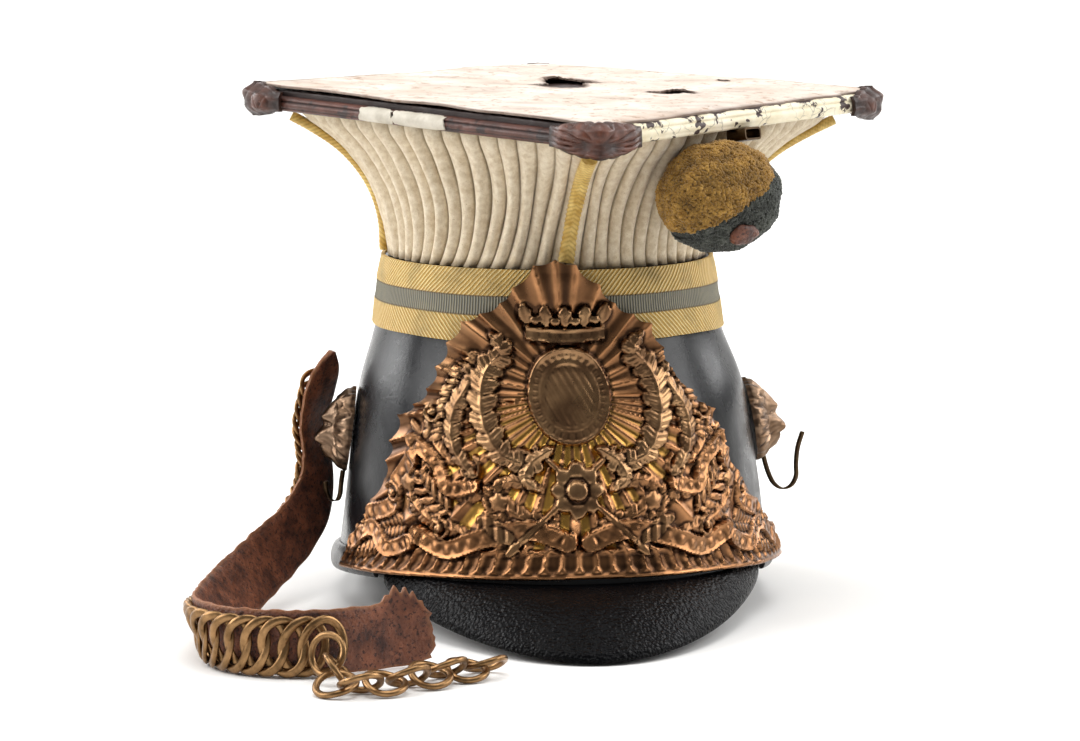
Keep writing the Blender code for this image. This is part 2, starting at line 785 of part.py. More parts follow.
def make_bosses(material, parent):
    """Make the two lion mask bosses at the sides."""
    spokes = 22
    circles = 6
    for name, sign, slope in BOSS_SIDES:
        angle = sign * math.radians(91)
        normal = skull_normal(angle, BOSS_CENTRE_HEIGHT)
        across_axis = Vector((-normal.y, normal.x, 0.0))
        tilt = math.radians(slope)
        outward = (normal * math.cos(tilt) + Vector((0, 0, math.sin(tilt)))).normalized()
        up_axis = (Vector((0, 0, math.cos(tilt))) - normal * math.sin(tilt)).normalized()
        base = skull_point(angle, BOSS_CENTRE_HEIGHT, BOSS_STAND_OFF)
        vertices = [base + outward * (BOSS_DEPTH * boss_relief(0, 0))]
        for circle in range(1, circles + 1):
            away = circle / circles
            for spoke in range(spokes):
                turn = math.tau * spoke / spokes
                edge = 1.0 + 0.05 * math.cos(turn * 11)
                across = away * edge * math.sin(turn)
                up = away * edge * math.cos(turn)
                depth = BOSS_DEPTH * (boss_relief(across, up) if circle < circles else 0.10)
                place = across_axis * (across * BOSS_WIDTH / 2) + up_axis * (up * BOSS_HEIGHT / 2)
                vertices.append(base + place + outward * depth)
        faces = [(0, 1 + spoke, 1 + (spoke + 1) % spokes) for spoke in range(spokes)]
        for circle in range(circles - 1):
            low = 1 + circle * spokes
            for spoke in range(spokes):
                beside = (spoke + 1) % spokes
                faces.append((low + spoke, low + spokes + spoke, low + spokes + beside, low + beside))
        rim = 1 + (circles - 1) * spokes
        shift = len(vertices)
        for spoke in range(spokes):
            turn = math.tau * spoke / spokes
            edge = 1.0 + 0.05 * math.cos(turn * 11)
            place = across_axis * (edge * math.sin(turn) * BOSS_WIDTH / 2)
            place = place + up_axis * (edge * math.cos(turn) * BOSS_HEIGHT / 2)
            vertices.append(base + place)
        for spoke in range(spokes):
            beside = (spoke + 1) % spokes
            faces.append((rim + spoke, shift + spoke, shift + beside, rim + beside))
        faces.append(tuple(shift + spoke for spoke in range(spokes)))
        make_object("lion_boss_" + name, vertices, faces, material, parent, 60.0)


def make_hooks(material, parent):
    """Make the wire hook that hangs under each boss."""
    right = [(77.8, 1.0, 49.0), (79.4, 0.9, 43.4), (81.6, 0.6, 38.8), (84.8, 0.3, 36.6),
             (88.2, 0.3, 37.6), (90.2, 0.4, 41.2), (90.2, 0.5, 46.2), (90.8, 0.6, 52.2), (92.6, 0.6, 58.2)]
    left = [(-80.7, 1.6, 47.9), (-81.6, 1.0, 41.0), (-82.2, -1.5, 37.0), (-83.6, -4.0, 35.0),
            (-86.0, -6.0, 36.0), (-87.4, -7.0, 39.5), (-87.6, -7.4, 43.0)]
    for name, way in (("left", left), ("right", right)):
        points = [Vector(point) * MM for point in smooth_way(way, 2)]
        vertices, faces = capped_loft(tube_rings(points, HOOK_WIRE, 6))
        make_object("hook_" + name, vertices, faces, material, parent, 60.0)


def make_pompom(materials, parent):
    """Make the two-coloured wool pompom in two halves, and its leather button."""
    angle = math.radians(POMPOM_ANGLE_DEG)
    outward = Vector((math.sin(angle), -math.cos(angle), 0.0))
    across = Vector((math.cos(angle), math.sin(angle), 0.0))
    centre = outward * POMPOM_DISTANCE + Vector((POMPOM_SHIFT, 0, POMPOM_HEIGHT))
    frame = Matrix((across, -outward, Vector((0, 0, 1)))).transposed()
    split = Vector((0.52, 0.0, -0.86)).normalized()
    for name, material, sign in (("gold", materials[0], -1), ("grey", materials[1], 1)):
        solid = bmesh.new()
        bmesh.ops.create_icosphere(solid, subdivisions=3, radius=1.0)
        for vertex in solid.verts:
            place = vertex.co.copy()
            curl = math.sin(place.x * 9.0 + place.z * 4.0) * math.sin(place.y * 10.0 + place.x * 3.0)
            curl += 0.6 * math.sin(place.z * 13.0 - place.y * 6.0)
            vertex.co = place * (1.0 + 0.045 * curl)
        everything = solid.verts[:] + solid.edges[:] + solid.faces[:]
        cut = bmesh.ops.bisect_plane(solid, geom=everything, plane_co=split * (sign * 0.008),
                                     plane_no=split * -sign, clear_outer=True)
        rim = [edge for edge in cut["geom_cut"] if isinstance(edge, bmesh.types.BMEdge)]
        bmesh.ops.contextual_create(solid, geom=rim)
        bmesh.ops.recalc_face_normals(solid, faces=solid.faces)
        mesh = bpy.data.meshes.new("rosette_" + name)
        for vertex in solid.verts:
            scaled = Vector([vertex.co[axis] * POMPOM_HALF_SIZES[axis] for axis in range(3)])
            vertex.co = centre + frame @ scaled
        solid.to_mesh(mesh)
        solid.free()
        mesh.shade_smooth()
        mesh.materials.append(material)
        made = bpy.data.objects.new("rosette_" + name, mesh)
        bpy.context.scene.collection.objects.link(made)
        made.parent = parent
    facing = Vector((-0.05, -0.82, -0.57)).normalized()
    down = (frame @ facing).normalized()
    stretched = Vector([facing[axis] * POMPOM_HALF_SIZES[axis] for axis in range(3)])
    touch = Vector([stretched[axis] * POMPOM_HALF_SIZES[axis] / stretched.length for axis in range(3)])
    seat = centre + frame @ touch + down * BUTTON_SEAT
    beside = (across - down * across.dot(down)).normalized()
    ahead = down.cross(beside)
    rings = []
    for drop, radius in ((0.0, 5.4 * MM), (1.2 * MM, 6.2 * MM), (3.2 * MM, 3.6 * MM)):
        middle = seat + down * drop
        ring = []
        for step in range(12):
            turn = math.tau * step / 12
            ring.append(middle + beside * (radius * math.cos(turn)) + ahead * (radius * math.sin(turn)))
        rings.append(ring)
    vertices, faces = capped_loft(rings)
    make_object("rosette_button", vertices, faces, materials[2], parent)


def make_plume_socket(material, parent):
    """Make the flat open tube under the board's edge that takes a plume's stem."""
    angle = math.radians(SOCKET_ANGLE_DEG)
    outward = Vector((math.sin(angle), -math.cos(angle), 0.16)).normalized()
    across = Vector((math.cos(angle), math.sin(angle), 0.0))
    up = across.cross(outward)
    if up.z < 0:
        up = -up
    start = Vector((math.sin(angle), -math.cos(angle), 0.0)) * SOCKET_START
    start += Vector((BOARD_LEAN, 0, SOCKET_HEIGHT))
    rings = []
    for along, inset in ((0.0, 0.0), (1.0, 0.0), (1.0, SOCKET_WALL), (0.0, SOCKET_WALL)):
        half_width = SOCKET_OUTER[0] / 2 - inset
        half_height = SOCKET_OUTER[1] / 2 - inset
        centre = start + outward * (SOCKET_LENGTH * along)
        rings.append([centre + across * (x * half_width) + up * (z * half_height)
                      for x, z in ((-1, -1), (0, -1), (1, -1), (1, 1), (0, 1), (-1, 1))])
    vertices, faces = wrapped_wall(rings)
    make_object("plume_socket", vertices, faces, material, parent)


def strap_frame(row):
    """Return a strap station's middle, the unit vector to its upper edge and its share of the width."""
    x, y, z, turn, lean, share = row
    tilt = math.radians(lean)
    level = Vector((math.cos(math.radians(turn)), math.sin(math.radians(turn)), 0.0))
    upright = Vector((0, 0, 1)) * math.cos(tilt) + level * math.sin(tilt)
    return Vector((x, y, z)) * MM, upright, share


def strap_way():
    """Return the strap's stations on a smooth way: middle, across, outward, share and distance."""
    stations = []
    rows = smooth_way(STRAP_STATIONS, 3)
    walked = 0.0
    for place, row in enumerate(rows):
        centre, across, share = strap_frame(row)
        ahead = Vector(rows[min(place + 1, len(rows) - 1)][:3]) * MM
        behind = Vector(rows[max(place - 1, 0)][:3]) * MM
        along = (ahead - behind).normalized()
        across = (across - along * across.dot(along)).normalized()
        outward = along.cross(across).normalized()
        if stations:
            walked += (centre - stations[-1][0]).length
        stations.append((centre, across, outward, share, walked, along))
    return stations


def make_chin_strap(material, parent):
    """Make the leather strap: pointed above the boss, twisted, and bent round on its edge."""
    rings = []
    for centre, across, outward, share, _, _ in strap_way():
        half = STRAP_WIDTH / 2 * share
        thick = STRAP_THICKNESS / 2
        rings.append([centre + across * half - outward * thick, centre + across * half + outward * thick,
                      centre - across * half + outward * thick, centre - across * half - outward * thick])
    vertices, faces = capped_loft(rings)
    make_object("chin_strap", vertices, faces, material, parent, 40.0)


def closed_tube(points, radius, sides):
    """Join round sections along a closed line into one body."""
    count = len(points)
    centre = sum(points, Vector()) / count
    rings = []
    for place, point in enumerate(points):
        along = (points[(place + 1) % count] - points[place - 1]).normalized()
        out = point - centre
        out = (out - along * out.dot(along)).normalized()
        up = along.cross(out)
        ring = []
        for step in range(sides):
            turn = math.tau * step / sides
            ring.append(point + out * (radius * math.cos(turn)) + up * (radius * math.sin(turn)))
        rings.append(ring)
    return wrapped_wall(rings)


def make_chain(material, parent):
    """Make the chain: the closely woven band of links on the strap and the links of its loose tail."""
    stations = strap_way()
    band_end = stations[-1][4] * BAND_END
    rings = []
    inner = STRAP_THICKNESS / 2 + BAND_GAP
    outer = inner + 2 * (RING_TWIST + RING_WIRE)
    for centre, across, outward, share, walked, _ in stations:
        if share < 0.5 or walked > band_end:
            continue
        half = RING_RADIUS * share
        base = centre + outward * inner
        face = centre + outward * outer
        rings.append([base + across * half, face + across * half * 0.8,
                      face - across * half * 0.8, base - across * half])
    vertices, faces = capped_loft(rings)
    make_object("chain_band", vertices, faces, material, parent, 40.0)
    for number, (x, y, z, heading, roll) in enumerate(TAIL_LINKS):
        turn = math.radians(heading)
        along = Vector((math.cos(turn), math.sin(turn), 0.0))
        beside = Vector((-math.sin(turn), math.cos(turn), 0.0))
        lean = math.radians(roll)
        across = beside * math.cos(lean) + Vector((0, 0, math.sin(lean)))
        points = []
        for step in range(RING_STEPS):
            angle = math.tau * step / RING_STEPS
            reach = along * (TAIL_RADIUS * math.cos(angle)) + across * (TAIL_RADIUS * math.sin(angle))
            points.append(Vector((x, y, z)) * MM + reach)
        vertices, faces = closed_tube(points, RING_WIRE, RING_SIDES)
        make_object("chain_tail_%02d" % (number + 1), vertices, faces, material, parent, 80.0)


def main():
    """Build the whole cap."""
    clear_scene()
    root = bpy.data.objects.new("cap_root", None)
    bpy.context.scene.collection.objects.link(root)
    patent = make_material("patent_leather", (0.010, 0.011, 0.014), 0.22, 0.0)
    grained = make_material("grained_leather", (0.009, 0.009, 0.011), 0.45, 0.0)
    lace = make_material("yellow_lace", (0.60, 0.43, 0.14), 0.85, 0.0)
    felt = make_material("cream_felt", (0.60, 0.54, 0.42), 0.95, 0.0)
    gimp = make_material("gold_gimp", (0.56, 0.34, 0.06), 0.8, 0.0)
    skin = make_material("worn_skin", (0.88, 0.83, 0.77), 0.8, 0.0)
    cream = make_material("cream_paint", (0.80, 0.72, 0.52), 0.6, 0.0)
    moulding = make_material("brown_moulding", (0.07, 0.028, 0.024), 0.5, 0.0)
    brass = make_material("stamped_brass", (0.42, 0.20, 0.07), 0.38, 1.0)
    bronze = make_material("boss_brass", (0.30, 0.18, 0.10), 0.42, 1.0)
    wire = make_material("dark_wire", (0.10, 0.07, 0.04), 0.45, 1.0)
    gold_wool = make_material("gold_wool", (0.44, 0.24, 0.05), 0.95, 0.0)
    grey_wool = make_material("grey_wool", (0.11, 0.125, 0.12), 0.95, 0.0)
    strap = make_material("brown_strap", (0.10, 0.030, 0.020), 0.55, 0.0)
    links = make_material("chain_brass", (0.33, 0.20, 0.08), 0.35, 1.0)

    make_skull(patent, root)
    make_rim_binding(patent, root)
    make_peak(grained, root)
    make_lace_band(lace, root)
    make_fluted_top(felt, root)
    make_corner_cords(gimp, root)
    half = BOARD_SIDE / math.sqrt(2)
    board_layer("top_board", half, SKIN_THICKNESS + GAP, CORE_THICKNESS, moulding, root)
    board_layer("top_skin", half + SKIN_OVERHANG, 0.0, SKIN_THICKNESS, skin, root)
    make_edge_mouldings((cream, cream, moulding, moulding), root)
    make_corner_shells(moulding, root)
    make_front_plate(brass, root)
    make_bosses(bronze, root)
    make_hooks(wire, root)
    make_pompom((gold_wool, grey_wool, strap), root)
    make_plume_socket(wire, root)
    make_chin_strap(strap, root)
    make_chain(links, root)

    bpy.context.view_layer.update()
    corners = [item.matrix_world @ Vector(corner) for item in bpy.data.objects if item.type == "MESH"
               for corner in item.bound_box]
    lowest = Vector([min(corner[axis] for corner in corners) for axis in range(3)])
    highest = Vector([max(corner[axis] for corner in corners) for axis in range(3)])
    root.location = -Vector(((lowest.x + highest.x) / 2, (lowest.y + highest.y) / 2, lowest.z))
    bpy.context.view_layer.update()


main()
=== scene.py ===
"""A worn lance cap, dressed over its CAD frame: leather, lace, fluted cloth, board, plate, wool and chain.

The front with the peak looks along -Y. Sizes are in millimetres in the tables and in metres in meshes.
"""
import json
import logging
import math
from dataclasses import dataclass, field
from enum import Enum
from typing import Callable, Sequence

import bmesh
import bpy
import numpy as np
from mathutils import Matrix, Vector, noise

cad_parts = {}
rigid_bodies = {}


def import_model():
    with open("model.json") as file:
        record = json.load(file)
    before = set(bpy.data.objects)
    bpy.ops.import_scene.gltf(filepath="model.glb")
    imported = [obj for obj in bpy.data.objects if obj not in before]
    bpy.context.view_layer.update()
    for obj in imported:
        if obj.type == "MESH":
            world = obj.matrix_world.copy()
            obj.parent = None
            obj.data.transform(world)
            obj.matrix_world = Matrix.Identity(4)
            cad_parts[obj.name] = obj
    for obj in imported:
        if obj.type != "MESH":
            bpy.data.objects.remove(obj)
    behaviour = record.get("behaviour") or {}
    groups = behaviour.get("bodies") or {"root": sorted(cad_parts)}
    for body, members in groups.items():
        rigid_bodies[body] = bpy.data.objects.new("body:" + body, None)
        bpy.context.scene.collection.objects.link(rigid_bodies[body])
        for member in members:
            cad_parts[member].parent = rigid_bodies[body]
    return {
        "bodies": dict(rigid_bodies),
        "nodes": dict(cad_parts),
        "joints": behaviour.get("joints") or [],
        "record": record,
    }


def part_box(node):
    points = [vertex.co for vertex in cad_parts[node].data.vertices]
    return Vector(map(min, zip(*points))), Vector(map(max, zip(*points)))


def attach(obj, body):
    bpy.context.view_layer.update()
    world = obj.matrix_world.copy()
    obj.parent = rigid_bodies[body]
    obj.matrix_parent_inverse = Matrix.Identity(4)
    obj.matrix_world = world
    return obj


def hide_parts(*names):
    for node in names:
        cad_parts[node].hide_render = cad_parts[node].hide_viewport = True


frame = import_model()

logging.basicConfig(level=logging.INFO, format="%(message)s")
LOG = logging.getLogger("lance_cap")

MM = 0.001
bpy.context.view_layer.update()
Array = np.ndarray
SKULL_LEAN = 2.8
SKULL_BACK = 99.8


def axis_offset() -> Array:
    """Return the cap's axis on the floor in the frame, in millimetres.

    Returns:
        The offset that turns cap coordinates into frame coordinates.
    """
    low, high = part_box("skull")
    return np.array([(low.x + high.x) / 2 / MM + SKULL_LEAN, high.y / MM - SKULL_BACK, 0.0])


OFFSET = axis_offset()


def linear(colour: str) -> tuple[float, float, float, float]:
    """Turn an sRGB hex colour into a linear one.

    Args:
        colour: the colour as six hex digits after a hash.

    Returns:
        Red, green, blue and alpha from 0 to 1.
    """
    parts = []
    for start in (1, 3, 5):
        value = int(colour[start:start + 2], 16) / 255
        parts.append(value / 12.92 if value <= 0.04045 else ((value + 0.055) / 1.055) ** 2.4)
    return (*parts, 1.0)


class Side(Enum):
    """The four sides of the cap, as quarter turns from the front."""

    FRONT = 0
    RIGHT = 1
    BACK = 2
    LEFT = 3


def blend(rows: Sequence[Sequence[float]], level: Array, column: int) -> Array:
    """Read a column of a table smoothly at some levels.

    Args:
        rows: table rows that start with their level.
        level: the levels to read at.
        column: which column to read.

    Returns:
        The values, on a cubic curve that doesn't overshoot.
    """
    x = np.array([row[0] for row in rows], float)
    y = np.array([row[column] for row in rows], float)
    slope = np.diff(y) / np.diff(x)
    tangent = np.concatenate([[slope[0]], (slope[1:] + slope[:-1]) / 2, [slope[-1]]])
    level = np.clip(np.asarray(level, float), x[0], x[-1])
    place = np.clip(np.searchsorted(x, level) - 1, 0, len(x) - 2)
    width = x[place + 1] - x[place]
    t = (level - x[place]) / width
    low = (2 * t ** 3 - 3 * t ** 2 + 1) * y[place] + (t ** 3 - 2 * t ** 2 + t) * width * tangent[place]
    high = (3 * t ** 2 - 2 * t ** 3) * y[place + 1] + (t ** 3 - t ** 2) * width * tangent[place + 1]
    return low + high


def ramp(value: Array, start: float, end: float) -> Array:
    """Rise smoothly from 0 at start to 1 at end."""
    t = np.clip((np.asarray(value, float) - start) / (end - start), 0.0, 1.0)
    return t * t * (3 - 2 * t)


def smooth_way(points: Sequence[Sequence[float]], steps: int) -> Array:
    """Run a Catmull-Rom curve through rows of numbers.

    Args:
        points: the rows that the curve passes.
        steps: points made between two rows.

    Returns:
        The points of the curve as an array.
    """
    rows = np.array(points, float)
    way = []
    last = len(rows) - 1
    for place in range(last):
        before, start = rows[max(place - 1, 0)], rows[place]
        end, after = rows[place + 1], rows[min(place + 2, last)]
        for step in range(steps):
            t = step / steps
            bend = 2 * start + (end - before) * t + (2 * before - 5 * start + 4 * end - after) * t * t
            way.append(0.5 * (bend + (3 * start - before - 3 * end + after) * t ** 3))
    way.append(rows[last])
    return np.array(way)


def value_noise(points: Array, scale: float, seed: float = 0.0) -> Array:
    """Return smooth noise from -1 to 1 at points, with features of a size in millimetres."""
    flat = points.reshape(-1, 3) / scale
    values = [noise.noise(Vector((x + seed, y - seed, z + 2 * seed))) for x, y, z in flat]
    return np.array(values).reshape(points.shape[:-1])


def unit(vectors: Array) -> Array:
    """Scale vectors to length 1."""
    return vectors / np.maximum(np.linalg.norm(vectors, axis=-1, keepdims=True), 1e-9)


def grid_faces(rows: int, columns: int, wrap: bool, start: int = 0) -> list[tuple[int, int, int, int]]:
    """List the faces of a grid of points.

    Args:
        rows: rows of points.
        columns: points in a row.
        wrap: whether a row closes on itself.
        start: number of the first point.

    Returns:
        Faces as four point numbers each.
    """
    faces = []
    for row in range(rows - 1):
        for column in range(columns if wrap else columns - 1):
            beside = (column + 1) % columns
            low = start + row * columns
            faces.append((low + column, low + beside, low + columns + beside, low + columns + column))
    return faces


def make_mesh(name: str, points: Array, faces: list, uv: Array | None = None, smooth: float = 40.0) -> bpy.types.Object:
    """Make a mesh object from points in cap millimetres.

    Args:
        name: the object's name.
        points: points in cap coordinates.
        faces: faces as point numbers.
        uv: a place in millimetres for each point, kept as the mesh's UV in metres.
        smooth: sharp edge angle in degrees.

    Returns:
        The object, at the frame's origin.
    """
    points = points.reshape(-1, 3)
    mesh = bpy.data.meshes.new(name)
    mesh.from_pydata(((points + OFFSET) * MM).tolist(), [], faces)
    if uv is not None:
        layer = mesh.uv_layers.new(name="surface")
        corners = np.zeros(len(mesh.loops), np.int32)
        mesh.loops.foreach_get("vertex_index", corners)
        layer.data.foreach_set("uv", (uv.reshape(-1, 2)[corners] * MM).ravel())
    made = bpy.data.objects.new(name, mesh)
    bpy.context.scene.collection.objects.link(made)
    face_outward(made)
    mesh.shade_smooth()
    mesh.set_sharp_from_angle(angle=math.radians(smooth))
    return made


def face_outward(made: bpy.types.Object) -> None:
    """Turn an object's faces outward."""
    solid = bmesh.new()
    solid.from_mesh(made.data)
    bmesh.ops.recalc_face_normals(solid, faces=solid.faces)
    solid.to_mesh(made.data)
    solid.free()


def make_wall(name: str, outer: Array, inner: Array, wrap: bool, uv: Array | None = None,
              smooth: float = 40.0) -> bpy.types.Object:
    """Close two equal grids, one outside and one inside, into a body.

    Args:
        name: the object's name.
        outer: rows of outer points.
        inner: rows of inner points.
        wrap: whether each row closes on itself.
        uv: the surface place of each point, the same for both grids.
        smooth: sharp edge angle in degrees.

    Returns:
        The closed object.
    """
    rows, columns = outer.shape[:2]
    shift = rows * columns
    faces = grid_faces(rows, columns, wrap) + grid_faces(rows, columns, wrap, shift)
    if wrap:
        for low in (0, (rows - 1) * columns):
            for column in range(columns):
                first, beside = low + column, low + (column + 1) % columns
                faces.append((first, beside, shift + beside, shift + first))
    else:
        border = list(range(columns - 1))
        border += [row * columns + columns - 1 for row in range(rows - 1)]
        border += list(range((rows - 1) * columns + columns - 1, (rows - 1) * columns, -1))
        border += [row * columns for row in range(rows - 1, 0, -1)]
        for place, first in enumerate(border):
            beside = border[(place + 1) % len(border)]
            faces.append((first, beside, shift + beside, shift + first))
    points = np.concatenate([outer.reshape(-1, 3), inner.reshape(-1, 3)])
    both = None if uv is None else np.concatenate([uv.reshape(-1, 2), uv.reshape(-1, 2)])
    return make_mesh(name, points, faces, both, smooth)


def cut_sheet(name: str, upper: Array, lower: Array, keep: Array,
              smooth: float = 50.0) -> tuple[bpy.types.Object, Array]:
    """Close the kept cells of two equal grids into a thin body.

    Args:
        name: the object's name.
        upper: rows of upper points.
        lower: rows of lower points.
        keep: which cells are kept, one fewer each way than the points.
        smooth: sharp edge angle in degrees.

    Returns:
        The object, and which of the grid's points it uses, first above and then below.
    """
    rows, columns = upper.shape[:2]
    cells = [face for face, kept in zip(grid_faces(rows, columns, False), keep.ravel()) if kept]
    used = np.zeros(rows * columns, bool)
    used[np.array(cells).ravel()] = True
    number = np.cumsum(used) - 1
    total = int(used.sum())
    faces = [tuple(int(number[index]) for index in face) for face in cells]
    edges = {pair for face in faces for pair in zip(face, face[1:] + face[:1])}
    sides = [(second, first, first + total, second + total) for first, second in sorted(edges)
             if (second, first) not in edges]
    below = [tuple(index + total for index in reversed(face)) for face in faces]
    points = np.concatenate([upper.reshape(-1, 3)[used], lower.reshape(-1, 3)[used]])
    return make_mesh(name, points, faces + below + sides, smooth=smooth), used.reshape(rows, columns)


def inside_outline(edge: Array, x: Array, y: Array) -> Array:
    """Return which places lie inside a closed outline."""
    inside = np.zeros(x.shape, bool)
    for (x0, y0), (x1, y1) in zip(edge, np.roll(edge, -1, 0)):
        if y0 != y1:
            inside ^= ((y0 > y) != (y1 > y)) & (x < (x1 - x0) * (y - y0) / (y1 - y0) + x0)
    return inside


def snap_border(edge: Array, keep: Array, x: Array, y: Array) -> tuple[Array, Array]:
    """Move the outer points of the kept cells onto the outline.

    Args:
        edge: points of the closed outline.
        keep: which cells are kept.
        x: the grid's places across.
        y: the grid's places up.

    Returns:
        The moved places.
    """
    around = np.pad(keep, 1)
    corners = np.stack([around[:-1, :-1], around[1:, :-1], around[:-1, 1:], around[1:, 1:]])
    border = corners.any(0) & ~corners.all(0)
    place = np.stack([x[border], y[border]], -1)
    best = np.full(len(place), 1e9)
    moved = place.copy()
    for start, end in zip(edge, np.roll(edge, -1, 0)):
        along = end - start
        share = np.clip((place - start) @ along / max(along @ along, 1e-9), 0, 1)
        nearest = start + share[:, None] * along
        away = np.linalg.norm(place - nearest, axis=1)
        closer = away < best
        best = np.where(closer, away, best)
        moved[closer] = nearest[closer]
    x, y = x.copy(), y.copy()
    x[border], y[border] = moved[:, 0], moved[:, 1]
    return x, y


def turn_faces(axis: Vector, angle: float, centre: Vector) -> None:
    """Turn what is selected in edit mode about an axis through a place.

    Args:
        axis: the axis, of length 1.
        angle: the turn in radians, counterclockwise about the axis.
        centre: a place on the axis.
    """
    side = axis.orthogonal().normalized()
    bpy.ops.transform.rotate(value=-angle, orient_axis="Z", center_override=tuple(centre), orient_type="LOCAL",
                             orient_matrix=Matrix((side, axis.cross(side), axis)).transposed(),
                             orient_matrix_type="LOCAL")


def tube(way: Array, radius: Array, sides: int, up: Array | None = None, closed: bool = False) -> tuple[Array, list]:
    """Run a round bar along a way.

    Args:
        way: points of the bar's middle line.
        radius: its radius at each point, or a pair for a flat bar.
        sides: points round it.
        up: the direction of the bar's second half size at each point.
        closed: whether the way closes on itself.

    Returns:
        Its points and faces.
    """
    count = len(way)
    ahead = np.roll(way, -1, 0) - np.roll(way, 1, 0)
    if not closed:
        ahead[0] = way[1] - way[0]
        ahead[-1] = way[-1] - way[-2]
    ahead = unit(ahead)
    if up is None:
        up = np.zeros_like(way)
        start = np.array([0.0, 0.0, 1.0]) if abs(ahead[0][2]) < 0.9 else np.array([1.0, 0.0, 0.0])
        for place in range(count):
            start = start - ahead[place] * (start @ ahead[place])
            start /= np.linalg.norm(start)
            up[place] = start
    side = unit(np.cross(ahead, up))
    up = np.cross(side, ahead)
    sizes = np.broadcast_to(np.asarray(radius, float), (count, 2)) if np.ndim(radius) != 1 else np.stack(
        [radius, radius], 1)
    turn = np.arange(sides) * math.tau / sides
    points = (way[:, None] + side[:, None] * (sizes[:, None, :1] * np.cos(turn)[None, :, None])
              + up[:, None] * (sizes[:, None, 1:] * np.sin(turn)[None, :, None]))
    faces = grid_faces(count, sides, True)
    if closed:
        low = (count - 1) * sides
        faces += [(low + step, low + (step + 1) % sides, (step + 1) % sides, step) for step in range(sides)]
    else:
        faces.append(tuple(range(sides)))
        faces.append(tuple((count - 1) * sides + step for step in range(sides)))
    return points.reshape(-1, 3), faces


def join_parts(name: str, parts: list[tuple[Array, list]], smooth: float = 60.0) -> bpy.types.Object:
    """Make one object from several lists of points and faces."""
    points = np.concatenate([part[0] for part in parts])
    faces = []
    shift = 0
    for part_points, part_faces in parts:
        faces += [tuple(shift + index for index in face) for face in part_faces]
        shift += len(part_points)
    return make_mesh(name, points, faces, smooth=smooth)


def finish_piece(made: bpy.types.Object, material: bpy.types.Material, nodes: Sequence[str]) -> None:
    """Give a piece its material and the CAD nodes that it stands for."""
    made.data.materials.clear()
    made.data.materials.append(material)
    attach(made, "root")
    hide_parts(*nodes)
    triangles = sum(len(face.vertices) - 2 for face in made.data.polygons)
    LOG.info("%s: %d triangles", made.name, triangles)


def per_mm(size: float) -> float:
    """Return a texture scale whose features have a size in millimetres."""
    return 1 / (size * MM)


def add_node(tree: bpy.types.NodeTree, kind: str, settings: dict | None = None, **inputs) -> bpy.types.Node:
    """Add a shader node with its settings and links.

    Args:
        tree: the material's node tree.
        kind: the node's type without its ShaderNode prefix.
        settings: attributes of the node.
        inputs: for each input, a value or a socket to link. A name such as in_0 is the input of that number.

    Returns:
        The node.
    """
    node = tree.nodes.new("ShaderNode" + kind)
    for key, value in (settings or {}).items():
        setattr(node, key, value)
    for key, value in inputs.items():
        name = int(key[3:]) if key.startswith("in_") else key.replace("_", " ").title()
        target = node.inputs[name]
        if isinstance(value, bpy.types.NodeSocket):
            tree.links.new(value, target)
        else:
            target.default_value = value
    return node


def stepped(tree: bpy.types.NodeTree, value: bpy.types.NodeSocket, stops: Sequence[tuple]) -> bpy.types.NodeSocket:
    """Turn a value into a colour or grey through a colour ramp.

    Args:
        tree: the material's node tree.
        value: what the ramp reads.
        stops: pairs of a place from 0 to 1 and a colour as hex or a grey value.

    Returns:
        The ramp's colour output.
    """
    node = add_node(tree, "ValToRGB", in_0=value)
    marks = node.color_ramp.elements
    for place, (where, shade) in enumerate(stops):
        mark = marks[place] if place < 2 else marks.new(where)
        mark.position = where
        mark.color = linear(shade) if isinstance(shade, str) else (shade, shade, shade, 1.0)
    return node.outputs[0]


def mixed(tree: bpy.types.NodeTree, share, first, second, way: str = "MIX") -> bpy.types.NodeSocket:
    """Mix two colours by a share, each a socket, a hex colour or a grey."""
    node = tree.nodes.new("ShaderNodeMix")
    node.data_type = "RGBA"
    node.blend_type = way
    for index, value in ((0, share), (6, first), (7, second)):
        if isinstance(value, bpy.types.NodeSocket):
            tree.links.new(value, node.inputs[index])
        elif isinstance(value, str):
            node.inputs[index].default_value = linear(value)
        else:
            node.inputs[index].default_value = value
    return node.outputs[2]


def sums(tree: bpy.types.NodeTree, operation: str, *values) -> bpy.types.NodeSocket:
    """Return the result of a math node on sockets or numbers."""
    node = add_node(tree, "Math", {"operation": operation},
                    **{"in_%d" % place: value for place, value in enumerate(values)})
    return node.outputs[0]


